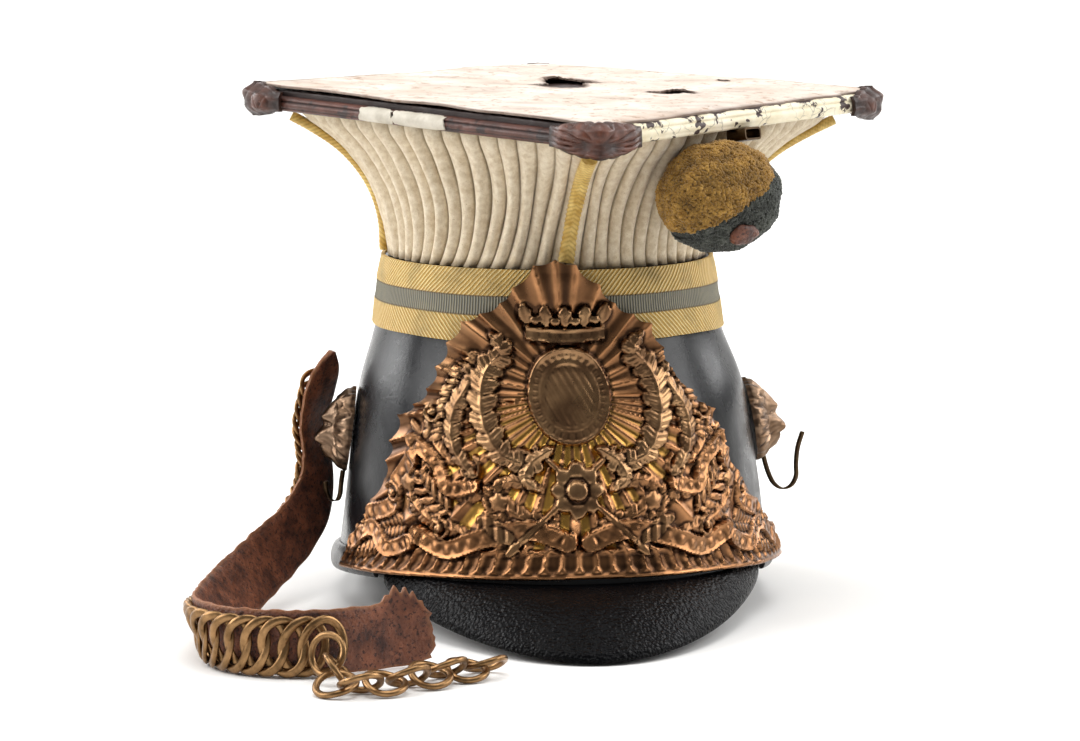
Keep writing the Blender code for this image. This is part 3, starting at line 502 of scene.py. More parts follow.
@dataclass(frozen=True)
class Finish:
    """A finish: two shades mixed by noise, roughness, small relief, and soiling with painted shade kept by a mesh
    attribute.

    Sizes are real millimetres. The mesh attribute runs from 0, hollow, soiled or in painted shade, to 1, raised or
    unsoiled.
    """

    name: str
    dark: str
    light: str
    patch: float = 12.0
    rough: tuple[float, float] = (0.4, 0.6)
    metallic: float = 0.0
    grain: float = 0.8
    relief: float = 0.05
    # The colour that a low mesh attribute darkens to: soiling, and on some pieces painted shade.
    dirt_and_shade: str = ""
    dirt_and_shade_share: float = 1.0
    speck: str = ""
    speck_share: float = 0.62
    sheen: float = 0.0
    coat: float = 0.0
    specular: float = 0.5

    def base(self, tree: bpy.types.NodeTree, place: bpy.types.NodeSocket) -> bpy.types.NodeSocket:
        """Mix the finish's shades over its patches, then its specks, then its darkening colour, which is soiling and on
        some pieces painted shade.
        """
        patches = add_node(tree, "TexNoise", None, Vector=place, Scale=per_mm(self.patch), Detail=6.0,
                           Roughness=0.62).outputs[0]
        colour = mixed(tree, stepped(tree, patches, [(0.34, 0.0), (0.66, 1.0)]), self.dark, self.light)
        if self.speck:
            fine = add_node(tree, "TexNoise", None, Vector=place, Scale=per_mm(self.patch / 5), Detail=5.0,
                            Roughness=0.7).outputs[0]
            share = stepped(tree, fine, [(self.speck_share, 0.0), (self.speck_share + 0.06, 0.85)])
            colour = mixed(tree, share, colour, self.speck)
        # Where the mesh attribute is low the colour darkens: real soiling on most pieces, painted shade in the plate's
        # grooves, the wool's cores and the board's core.
        if self.dirt_and_shade:
            wear_and_shade = add_node(tree, "Attribute", {"attribute_name": "wear_and_shade"}).outputs["Fac"]
            share = sums(tree, "MULTIPLY", stepped(tree, wear_and_shade, [(0.05, 1.0), (0.75, 0.0)]), self.dirt_and_shade_share)
            colour = mixed(tree, share, colour, self.dirt_and_shade)
        return colour

    def height(self, tree: bpy.types.NodeTree, place: bpy.types.NodeSocket) -> bpy.types.NodeSocket:
        """Return the small relief that bump shows."""
        return add_node(tree, "TexNoise", None, Vector=place, Scale=per_mm(self.grain), Detail=4.0,
                        Roughness=0.6).outputs[0]

    def roughness(self, tree: bpy.types.NodeTree, place: bpy.types.NodeSocket) -> bpy.types.NodeSocket:
        """Return the roughness over the surface."""
        patches = add_node(tree, "TexNoise", None, Vector=place, Scale=per_mm(self.patch * 0.7), Detail=5.0,
                           Roughness=0.65).outputs[0]
        return stepped(tree, patches, [(0.35, self.rough[0]), (0.68, self.rough[1])])

    def make(self) -> bpy.types.Material:
        """Build the material.

        Returns:
            A Principled material with noise, soiling that on some pieces is painted shade, and bump.
        """
        material = bpy.data.materials.new(self.name)
        material.use_nodes = True
        tree = material.node_tree
        shader = tree.nodes["Principled BSDF"]
        place = self.place(tree)
        tree.links.new(self.base(tree, place), shader.inputs["Base Color"])
        tree.links.new(self.roughness(tree, place), shader.inputs["Roughness"])
        bump = add_node(tree, "Bump", None, Strength=1.0, Distance=self.relief * MM, Height=self.height(tree, place))
        tree.links.new(bump.outputs[0], shader.inputs["Normal"])
        shader.inputs["Metallic"].default_value = self.metallic
        shader.inputs["Specular IOR Level"].default_value = self.specular
        if self.sheen:
            shader.inputs["Sheen Weight"].default_value = self.sheen
            shader.inputs["Sheen Roughness"].default_value = 0.4
        if self.coat:
            shader.inputs["Coat Weight"].default_value = self.coat
            shader.inputs["Coat Roughness"].default_value = 0.16
        return material

    def place(self, tree: bpy.types.NodeTree) -> bpy.types.NodeSocket:
        """Return the coordinates that the finish reads: the frame's own place."""
        return add_node(tree, "TexCoord").outputs["Object"]


@dataclass(frozen=True)
class GrainedLeather(Finish):
    """Leather with a pressed pebble grain, its dents rounded by wear."""

    pebble: float = 1.3
    pebble_share: float = 0.7

    def height(self, tree: bpy.types.NodeTree, place: bpy.types.NodeSocket) -> bpy.types.NodeSocket:
        """Add round pebbles with creases between them to the fine noise."""
        fine = super().height(tree, place)
        warp = add_node(tree, "TexNoise", None, Vector=place, Scale=per_mm(4.0), Detail=2.0).outputs["Color"]
        moved = add_node(tree, "VectorMath", {"operation": "MULTIPLY_ADD"}, in_0=warp,
                         in_1=(0.0009, 0.0009, 0.0009), in_2=place).outputs[0]
        cells = add_node(tree, "TexVoronoi", {"feature": "SMOOTH_F1"}, Vector=moved, Scale=per_mm(self.pebble))
        round_tops = stepped(tree, cells.outputs["Distance"], [(0.1, 1.0), (0.75, 0.0)])
        return mixed(tree, self.pebble_share, fine, round_tops)


@dataclass(frozen=True)
class StampedBrass(Finish):
    """Stamped brass: a painted gold highlight in the deep places on the left, copper over most of it, and an olive
    tarnish in the middle.
    """

    # Painted highlight: the bright gold of the glints in the deep places.
    glint_gold: str = "#D9A650"
    olive_dark: str = "#75583F"
    olive_light: str = "#A27F5B"

    def base(self, tree: bpy.types.NodeTree, place: bpy.types.NodeSocket) -> bpy.types.NodeSocket:
        """Mix the painted gold highlight and the olive tarnish into the copper by a mesh attribute: 0 painted
        highlight, 0.5 copper and 1 olive.
        """
        copper = super().base(tree, place)
        age = add_node(tree, "Attribute", {"attribute_name": "age"}).outputs["Fac"]
        patches = add_node(tree, "TexNoise", None, Vector=place, Scale=per_mm(9.0), Detail=5.0).outputs[0]
        olive = mixed(tree, stepped(tree, patches, [(0.38, 0.0), (0.62, 1.0)]), self.olive_dark, self.olive_light)
        # In the hollows the olive darkens: tarnish there, and painted shade along the grooves round the shapes.
        wear_and_shade = add_node(tree, "Attribute", {"attribute_name": "wear_and_shade"}).outputs["Fac"]
        olive = mixed(tree, stepped(tree, wear_and_shade, [(0.1, 1.0), (0.5, 0.0)]), olive, self.dirt_and_shade)
        colour = mixed(tree, stepped(tree, age, [(0.56, 0.0), (0.82, 0.92)]), copper, olive)
        # Painted highlight: where the mesh attribute is low the colour turns bright gold.
        return mixed(tree, stepped(tree, age, [(0.08, 0.9), (0.40, 0.0)]), colour, self.glint_gold)


@dataclass(frozen=True)
class Lace(Finish):
    """Worsted lace: two yellow twill borders that lean opposite ways and a ribbed grey stripe between."""

    stripe_dark: str = "#66655A"
    stripe_light: str = "#A29A82"
    stripe_from: float = 9.4
    stripe_to: float = 16.0
    twill: float = 1.9
    rib: float = 1.15

    def place(self, tree: bpy.types.NodeTree) -> bpy.types.NodeSocket:
        """Return the band's own surface places: along it and up it, in metres."""
        return add_node(tree, "TexCoord").outputs["UV"]

    def threads(self, tree: bpy.types.NodeTree, place: bpy.types.NodeSocket) -> tuple:
        """Return the twill and rib waves, and where the stripe lies."""
        parts = add_node(tree, "SeparateXYZ", None, Vector=place).outputs
        along = sums(tree, "DIVIDE", parts[0], MM)
        up = sums(tree, "DIVIDE", parts[1], MM)
        middle = (self.stripe_from + self.stripe_to) / 2
        mirrored = sums(tree, "ABSOLUTE", sums(tree, "SUBTRACT", up, middle))
        sway = add_node(tree, "TexNoise", None, Vector=place, Scale=per_mm(9.0), Detail=3.0).outputs[0]
        slant = sums(tree, "SUBTRACT", sums(tree, "MULTIPLY", mirrored, 1.0), along)
        slant = sums(tree, "MULTIPLY_ADD", sway, 1.6, slant)
        twill = sums(tree, "SINE", sums(tree, "MULTIPLY", slant, math.tau / self.twill))
        fine = sums(tree, "SINE", sums(tree, "MULTIPLY", along, math.tau / 0.62))
        rib = sums(tree, "SINE", sums(tree, "MULTIPLY", along, math.tau / self.rib))
        half = (self.stripe_to - self.stripe_from) / 2
        inside = sums(tree, "LESS_THAN", mirrored, half)
        return twill, rib, inside, mirrored, fine

    def base(self, tree: bpy.types.NodeTree, place: bpy.types.NodeSocket) -> bpy.types.NodeSocket:
        """Colour the twill, the stripe and the dark lines where they meet."""
        twill, rib, inside, mirrored, _ = self.threads(tree, place)
        soil = add_node(tree, "TexNoise", None, Vector=place, Scale=per_mm(self.patch), Detail=6.0,
                        Roughness=0.66).outputs[0]
        yellow = mixed(tree, stepped(tree, twill, [(0.0, 0.0), (1.0, 1.0)]), self.dark, self.light)
        yellow = mixed(tree, stepped(tree, soil, [(0.48, 0.0), (0.72, 0.75)]), yellow, self.dirt_and_shade)
        grey = mixed(tree, stepped(tree, rib, [(0.0, 0.0), (1.0, 1.0)]), self.stripe_dark, self.stripe_light)
        grey = mixed(tree, stepped(tree, soil, [(0.5, 0.0), (0.8, 0.6)]), grey, "#A39A78")
        colour = mixed(tree, inside, yellow, grey)
        half = (self.stripe_to - self.stripe_from) / 2
        seam = sums(tree, "LESS_THAN", sums(tree, "ABSOLUTE", sums(tree, "SUBTRACT", mirrored, half)), 0.28)
        return mixed(tree, sums(tree, "MULTIPLY", seam, 0.7), colour, "#5A4420")

    def height(self, tree: bpy.types.NodeTree, place: bpy.types.NodeSocket) -> bpy.types.NodeSocket:
        """Raise the threads."""
        twill, rib, inside, _, fine = self.threads(tree, place)
        cloth = sums(tree, "MULTIPLY_ADD", fine, 0.35, twill)
        return mixed(tree, inside, cloth, rib)


@dataclass(frozen=True)
class CrackedPaint(Finish):
    """Old lacquer, cracked into plates, with flakes gone down to the brown ground."""

    ground: str = "#3A2622"
    crack: str = "#7E7261"
    cell: float = 6.5
    flaked: float = 0.6
    cracked: float = 0.5

    def base(self, tree: bpy.types.NodeTree, place: bpy.types.NodeSocket) -> bpy.types.NodeSocket:
        """Draw cracks and flakes over the paint."""
        colour = super().base(tree, place)
        warp = add_node(tree, "TexNoise", None, Vector=place, Scale=per_mm(3.0), Detail=3.0).outputs["Color"]
        moved = add_node(tree, "VectorMath", {"operation": "MULTIPLY_ADD"}, in_0=warp,
                         in_1=(0.0022, 0.0022, 0.0022), in_2=place).outputs[0]
        edges = add_node(tree, "TexVoronoi", {"feature": "DISTANCE_TO_EDGE"}, Vector=moved,
                         Scale=per_mm(self.cell)).outputs["Distance"]
        where = add_node(tree, "TexNoise", None, Vector=place, Scale=per_mm(16.0), Detail=3.0).outputs[0]
        share = sums(tree, "MULTIPLY", stepped(tree, edges, [(0.0, 0.75), (0.04, 0.0)]),
                     stepped(tree, where, [(self.cracked - 0.04, 0.0), (self.cracked + 0.04, 1.0)]))
        colour = mixed(tree, share, colour, self.crack)
        flakes = add_node(tree, "TexNoise", None, Vector=moved, Scale=per_mm(9.0), Detail=7.0,
                          Roughness=0.6).outputs[0]
        wear_and_shade = add_node(tree, "Attribute", {"attribute_name": "wear_and_shade"}).outputs["Fac"]
        flakes = sums(tree, "MULTIPLY_ADD", wear_and_shade, -0.25, flakes)
        gone = self.flaked - 0.25
        return mixed(tree, stepped(tree, flakes, [(gone, 0.0), (gone + 0.015, 1.0)]), colour, self.ground)


@dataclass(frozen=True)
class Wool(Finish):
    """Matted worsted: dull fibres that catch light at their edges."""

    def height(self, tree: bpy.types.NodeTree, place: bpy.types.NodeSocket) -> bpy.types.NodeSocket:
        """Add wandering fibres."""
        warp = add_node(tree, "TexNoise", None, Vector=place, Scale=per_mm(2.0), Detail=3.0).outputs["Color"]
        moved = add_node(tree, "VectorMath", {"operation": "MULTIPLY_ADD"}, in_0=warp,
                         in_1=(0.003, 0.003, 0.003), in_2=place).outputs[0]
        return add_node(tree, "TexNoise", None, Vector=moved, Scale=per_mm(self.grain), Detail=6.0,
                        Roughness=0.75).outputs[0]


class Finishes:
    """Every finish of the cap, each made once."""

    # Lacquered cowhide: black, glossy where whole, dulled by rubbing and dust.
    SKULL = Finish("patent leather", "#08090B", "#121316", 26.0, (0.22, 0.36), grain=1.4, relief=0.06,
                   speck="#202023", speck_share=0.70, dirt_and_shade="#434140", dirt_and_shade_share=0.6, specular=0.28)
    # Embossed black hide: small pebbles whose tops shine and whose creases hold dust.
    PEAK = GrainedLeather("grained leather", "#050506", "#0B0B0D", 14.0, (0.2, 0.3), grain=0.7, relief=0.6,
                          pebble=1.1, dirt_and_shade="#1A1919", dirt_and_shade_share=0.5, specular=0.055)
    # The skull's lining side: raw leather darkened by wear.
    INSIDE = Finish("skull lining", "#2A1C14", "#4A3526", 18.0, (0.6, 0.8), grain=1.2, relief=0.12)
    # Woven worsted, once bright yellow, now soiled.
    LACE = Lace("yellow lace", "#CDA04A", "#FFE8A8", 16.0, (0.8, 0.95), relief=0.35, dirt_and_shade="#9A8350", sheen=0.15)
    # Fulled wool cloth, faded from white to cream, brown in the stitched grooves.
    FELT = Wool("cream felt", "#D3BF9F", "#EEE0C6", 2.4, (0.9, 1.0), grain=0.5, relief=0.3,
                dirt_and_shade="#8A7450", dirt_and_shade_share=0.7, speck="#B69C72", speck_share=0.60, sheen=0.35)
    # Silk and gilt thread gimp, dulled to ochre.
    GIMP = Wool("gold gimp", "#B98E30", "#E9CB7A", 5.0, (0.55, 0.75), grain=0.3, relief=0.12,
                dirt_and_shade="#94702A", dirt_and_shade_share=0.7, sheen=0.2)
    # Thin oil-dressed skin, dried white and streaked with brown glue.
    SKIN = Finish("worn skin", "#C9B6A6", "#E3D7CC", 24.0, (0.6, 0.85), grain=0.9, relief=0.12,
                  speck="#AB8F7A", speck_share=0.56, dirt_and_shade="#5E4738", dirt_and_shade_share=0.85)
    # Cream lacquer over composition.
    CREAM = CrackedPaint("cream paint", "#E2D4B0", "#F6EDD5", 14.0, (0.4, 0.6), grain=1.0, relief=0.1)
    # Moulded composition in dark red brown, chipped at the edges. On the board's core its darkest colour is painted
    # shade.
    MOULDING = Finish("brown moulding", "#3F241C", "#653C30", 9.0, (0.38, 0.62), grain=1.1, relief=0.12,
                      dirt_and_shade="#1E1210", dirt_and_shade_share=0.8, speck="#8A6354", speck_share=0.66)
    # The same composition cast as shells, greyer where dust sticks and rubbed red on the ribs.
    SHELL = Finish("cast shell", "#3A1F14", "#683A28", 5.0, (0.34, 0.6), grain=0.8, relief=0.1,
                   dirt_and_shade="#1C110E", dirt_and_shade_share=0.85, speck="#94695A", speck_share=0.62)
    # A flake of the first paint, greyed.
    FLAKE = Finish("paint flake", "#BDB5A4", "#DAD3C4", 7.0, (0.5, 0.7), grain=0.8, relief=0.08,
                   dirt_and_shade="#6B5B4E", dirt_and_shade_share=0.5)
    # Stamped sheet brass: golden and copper on the high parts, brown tarnish in the hollows, painted shade along the
    # grooves round the shapes, and a painted gold highlight in the deep places on the left.
    PLATE = StampedBrass("stamped brass", "#7C573A", "#B88358", 20.0, (0.24, 0.38), 1.0, grain=0.6, relief=0.03,
                         dirt_and_shade="#33231A", dirt_and_shade_share=0.94, speck="#66462F", speck_share=0.64)
    # Thick stamped brass with an old pinkish tarnish.
    BOSS = Finish("boss brass", "#7A604A", "#A98E76", 8.0, (0.3, 0.48), 1.0, grain=0.6, relief=0.05,
                  dirt_and_shade="#33251C", dirt_and_shade_share=0.95)
    # Drawn wire gone nearly black.
    WIRE = Finish("dark wire", "#3B2E22", "#5E4C38", 5.0, (0.34, 0.5), 1.0, grain=0.6, relief=0.03)
    # Dyed worsted, ochre and grey; the cores under the tufts are darker, as painted shade in the crevices.
    GOLD_WOOL = Wool("gold wool", "#8A6424", "#C4984A", 3.2, (0.95, 1.0), grain=0.3, relief=0.15,
                     dirt_and_shade="#4E3612", dirt_and_shade_share=0.8, speck="#A97B45", speck_share=0.62, sheen=0.25)
    GREY_WOOL = Wool("grey wool", "#31332E", "#62655D", 2.4, (0.95, 1.0), grain=0.3, relief=0.15,
                     dirt_and_shade="#1A1B18", dirt_and_shade_share=0.8, speck="#8E9086", speck_share=0.66, sheen=0.2)
    # Red brown bridle leather, cracked and rubbed to orange fibres at its edges.
    STRAP = GrainedLeather("brown strap", "#402117", "#8A5238", 7.0, (0.42, 0.66), grain=0.9, relief=0.6,
                           pebble=1.3, pebble_share=0.35, dirt_and_shade="#94603C", dirt_and_shade_share=0.85,
                           speck="#1C0B0A", speck_share=0.54)
    # Brass wire rings, olive brown with worn copper bright spots.
    CHAIN = Finish("chain brass", "#6E5437", "#A58058", 5.0, (0.28, 0.44), 1.0, grain=0.5, relief=0.02,
                   speck="#4A3824", speck_share=0.62)


@dataclass(frozen=True)
class SkullForm:
    """The skull's shape: half width, half length and sideways lean at each height."""

    sections: tuple = (
        (0.0, 79.8, 99.4, -2.8),
        (11.0, 80.2, 99.8, -2.8),
        (22.0, 79.2, 98.0, -2.4),
        (41.0, 77.2, 93.0, -2.2),
        (59.7, 74.9, 87.0, -2.6),
        (78.5, 71.6, 81.0, -3.0),
        (101.7, 64.0, 73.0, -4.2),
        (126.5, 60.1, 69.5, -4.5),
    )
    wall: float = 2.5
    rim_tilt: float = 10.2
    rim_flat: float = 0.6
    front_lift: float = 16.5
    lift_reach: float = 41.0

    def point(self, angle: Array, level: Array, offset: Array | float = 0.0) -> Array:
        """Return points of the outer surface.

        Args:
            angle: turns from the front, to the right, in radians.
            level: heights in millimetres.
            offset: distance outward in millimetres.

        Returns:
            Points in cap millimetres.
        """
        angle, level, offset = np.broadcast_arrays(angle, level, offset)
        width = blend(self.sections, level, 1) + offset
        length = blend(self.sections, level, 2) + offset
        lean = blend(self.sections, level, 3)
        return np.stack([lean + width * np.sin(angle), -length * np.cos(angle), level], -1)

    def normal(self, angle: float, level: float) -> Array:
        """Return the level outward direction at an angle."""
        width = float(blend(self.sections, level, 1))
        length = float(blend(self.sections, level, 2))
        return unit(np.array([math.sin(angle) / width, -math.cos(angle) / length, 0.0]))

    def rim(self, angle: Array) -> Array:
        """Return the height of the lower edge: flat behind, rising to the peak in front."""
        return np.clip(self.rim_tilt * (1 + np.cos(angle)) - self.rim_flat, 0.0, self.front_lift)

    def angle_at(self, distance: Array, level: Array) -> Array:
        """Return the angle at a distance along the surface from the front."""
        width = blend(self.sections, level, 1)
        length = blend(self.sections, level, 2)
        angle = np.zeros_like(distance)
        for _ in range(60):
            middle = angle / 2
            arc = (np.hypot(width, 0 * angle) + 4 * np.hypot(width * np.cos(middle), length * np.sin(middle))
                   + np.hypot(width * np.cos(angle), length * np.sin(angle))) / 6 * angle
            slope = np.hypot(width * np.cos(angle), length * np.sin(angle))
            angle = angle + (distance - arc) / slope
        return angle


SKULL = SkullForm()


@dataclass
class SkullAssembly:
    """The leather skull, its rolled rim and its peak."""

    columns: int = 192
    rows: int = 64
    binding_start: float = 64.0
    binding_end: float = 57.5
    binding_height: float = 9.4
    binding_depth: float = 2.6
    peak_half_angle: float = 57.7
    peak_skew: float = 3.4
    peak_tip: float = 141.0
    peak_end: float = 54.0
    peak_end_skew: float = 5.0
    peak_half_width: float = 68.5
    peak_edge_rise: float = 14.6
    peak_bulge: float = 4.4
    peak_root: float = 20.2
    peak_root_gap: float = 0.8
    peak_thickness: float = 2.8
    dents: tuple = (
        # (angle in degrees, height, radius, depth)
        (-64.0, 74.0, 20.0, -0.7),
        (-38.0, 88.0, 13.0, -0.5),
        (66.0, 58.0, 24.0, -0.8),
        (80.0, 88.0, 12.0, 0.5),
        (140.0, 50.0, 26.0, -1.1),
        (-120.0, 66.0, 22.0, -0.9),
    )

    def build(self) -> None:
        """Make the skull, the rim binding and the peak."""
        self.make_skull()
        self.make_binding()
        self.make_peak()

    def unevenness(self, angle: Array, level: Array) -> Array:
        """Return the leather's dents and slow waves."""
        points = SKULL.point(angle, level)
        offset = 0.28 * value_noise(points, 34.0, 3.1) + 0.10 * value_noise(points, 11.0, 7.7)
        for turn, height, radius, depth in self.dents:
            centre = SKULL.point(np.array(math.radians(turn)), np.array(height))
            offset = offset + depth * np.exp(-np.sum((points - centre) ** 2, -1) / radius ** 2)
        return offset

    def make_skull(self) -> None:
        """Make the skull's wall, open below and above."""
        angle = np.arange(self.columns)[None, :] * math.tau / self.columns
        share = np.linspace(0, 1, self.rows)[:, None]
        level = share * 126.3
        level = level + SKULL.rim(angle) * np.maximum(0.0, 1 - level / SKULL.lift_reach)
        edge = 1.0 * (1 - ramp(share, 0.0, 0.02))
        offset = self.unevenness(angle, level) * ramp(share, 0.0, 0.1) - edge
        outer = SKULL.point(angle, level, offset)
        inner = SKULL.point(angle, level, -SKULL.wall + edge * 0.6)
        made = make_wall("skull_leather", outer, inner, True)
        wear_and_shade = 1 - 0.9 * ramp(18.0 - (made_levels(made)), 0.0, 16.0)
        set_wear_and_shade(made, wear_and_shade)
        finish_piece(made, Finishes.SKULL.make(), ["skull"])

    def make_binding(self) -> None:
        """Make the rolled edge from one end of the peak round the back to the other."""
        start = math.radians(self.binding_start)
        angle = np.linspace(start, math.tau - math.radians(self.binding_end), 220)[:, None]
        turn = np.linspace(-math.pi / 2, math.pi / 2, 14)[None, :]
        low = SKULL.rim(angle)
        level = low + self.binding_height / 2 * (1 + np.sin(turn))
        depth = 0.3 + self.binding_depth * np.maximum(0.0, np.cos(turn)) ** 0.6
        depth = depth + 0.12 * np.cos(turn) * value_noise(SKULL.point(angle, level), 6.0, 2.2)
        rings = SKULL.point(angle, level, depth)
        sides = rings.shape[1]
        faces = grid_faces(len(rings), sides, True)
        faces += [tuple(range(sides)), tuple((len(rings) - 1) * sides + step for step in range(sides))]
        made = make_mesh("rim_roll", rings, faces, smooth=60.0)
        set_wear_and_shade(made, 0.45 + 0.5 * value_noise(made_points(made), 9.0, 5.0))
        finish_piece(made, Finishes.SKULL.make(), ["rim_binding"])

    def make_peak(self) -> None:
        """Make the leather peak: it slopes down, droops at its tip and turns up a little at its edge."""
        side = np.linspace(-1, 1, 121)[None, :]
        out = np.linspace(0, 1, 45)[:, None]
        angle = math.radians(self.peak_half_angle) * side + math.radians(self.peak_skew) * np.abs(side)
        turn = math.pi / 2 * side
        root_level = SKULL.rim(angle) + (self.peak_root - SKULL.front_lift) * (1 - 0.55 * np.abs(side) ** 2)
        root = SKULL.point(angle, root_level, self.peak_root_gap)
        reach = np.maximum(0.0, np.cos(turn))
        edge_z = self.peak_thickness + self.peak_edge_rise * (1 - reach) ** 0.92
        end = self.peak_end - self.peak_end_skew * side
        edge_y = -(end + (self.peak_tip - end) * reach ** 1.8)
        edge = np.stack([self.peak_half_width * np.sin(turn), edge_y, edge_z], -1)
        share = (0.012 + 0.988 * out)[..., None]
        upper = root * (1 - share) + edge * share
        upper[..., 2] += self.peak_bulge * np.sin(math.pi * out) * reach
        upper[..., 2] += 0.25 * value_noise(upper, 26.0, 1.3) * ramp(out, 0.0, 0.2)
        round_edge = np.sqrt(np.clip((1 - out) / 0.03, 0.0, 1.0))
        half = self.peak_thickness / 2
        middle = upper.copy()
        middle[..., 2] -= half
        top = middle.copy()
        top[..., 2] += half * (0.25 + 0.75 * round_edge)
        bottom = middle.copy()
        bottom[..., 2] -= half * (0.25 + 0.75 * round_edge)
        made = make_wall("peak_leather", top, bottom, False, smooth=50.0)
        set_wear_and_shade(made, 0.7 + 0.5 * value_noise(made_points(made), 12.0, 9.0))
        finish_piece(made, Finishes.PEAK.make(), ["peak"])


def made_points(made: bpy.types.Object) -> Array:
    """Return an object's points in cap millimetres."""
    points = np.zeros(len(made.data.vertices) * 3)
    made.data.vertices.foreach_get("co", points)
    return points.reshape(-1, 3) / MM - OFFSET


def made_levels(made: bpy.types.Object) -> Array:
    """Return the heights of an object's points in millimetres."""
    return made_points(made)[:, 2]


def set_layer(made: bpy.types.Object, name: str, values: Array) -> None:
    """Keep a value from 0 to 1 at each point of an object."""
    layer = made.data.attributes.new(name, "FLOAT", "POINT")
    layer.data.foreach_set("value", np.clip(values, 0.0, 1.0).astype(np.float32))


def set_wear_and_shade(made: bpy.types.Object, wear_and_shade: Array) -> None:
    """Keep the value that darkens the colour, from 0, hollow, soiled or in painted shade, to 1, raised or unsoiled."""
    set_layer(made, "wear_and_shade", wear_and_shade)


@dataclass
class LaceBand:
    """The woven lace round the waist."""

    bottom: float = 101.7
    top: float = 127.0
    thickness: float = 1.5
    columns: int = 288

    def build(self) -> None:
        """Make the lace: slightly slack, its edges rolled, closed round the waist."""
        angle = np.arange(self.columns)[None, :] * math.tau / self.columns
        share = np.linspace(0, 1, 15)[:, None]
        slack = 0.45 * np.sin(angle * 3 + 0.6) + 0.3 * np.sin(angle * 7 + 2.0)
        level = self.bottom + (self.top - self.bottom) * share + slack * (1 - share) * 0.8
        rolled = np.sin(np.clip(share, 0.03, 0.97) * math.pi) ** 0.25
        stripe = 0.25 * (np.abs(share - 0.5) > 0.13)
        wave = 0.2 * value_noise(SKULL.point(angle, level), 9.0, 4.0)
        outer = SKULL.point(angle, level, 0.45 + self.thickness * rolled + stripe + wave)
        inner = SKULL.point(angle, level, 0.3)
        around = np.linspace(0, 420.0, self.columns)[None, :] + 0 * share
        uv = np.stack([around, share * (self.top - self.bottom) + 0 * angle], -1)
        made = make_wall("lace_weave", outer, inner, True, uv, 50.0)
        finish_piece(made, Finishes.LACE.make(), ["lace_band"])


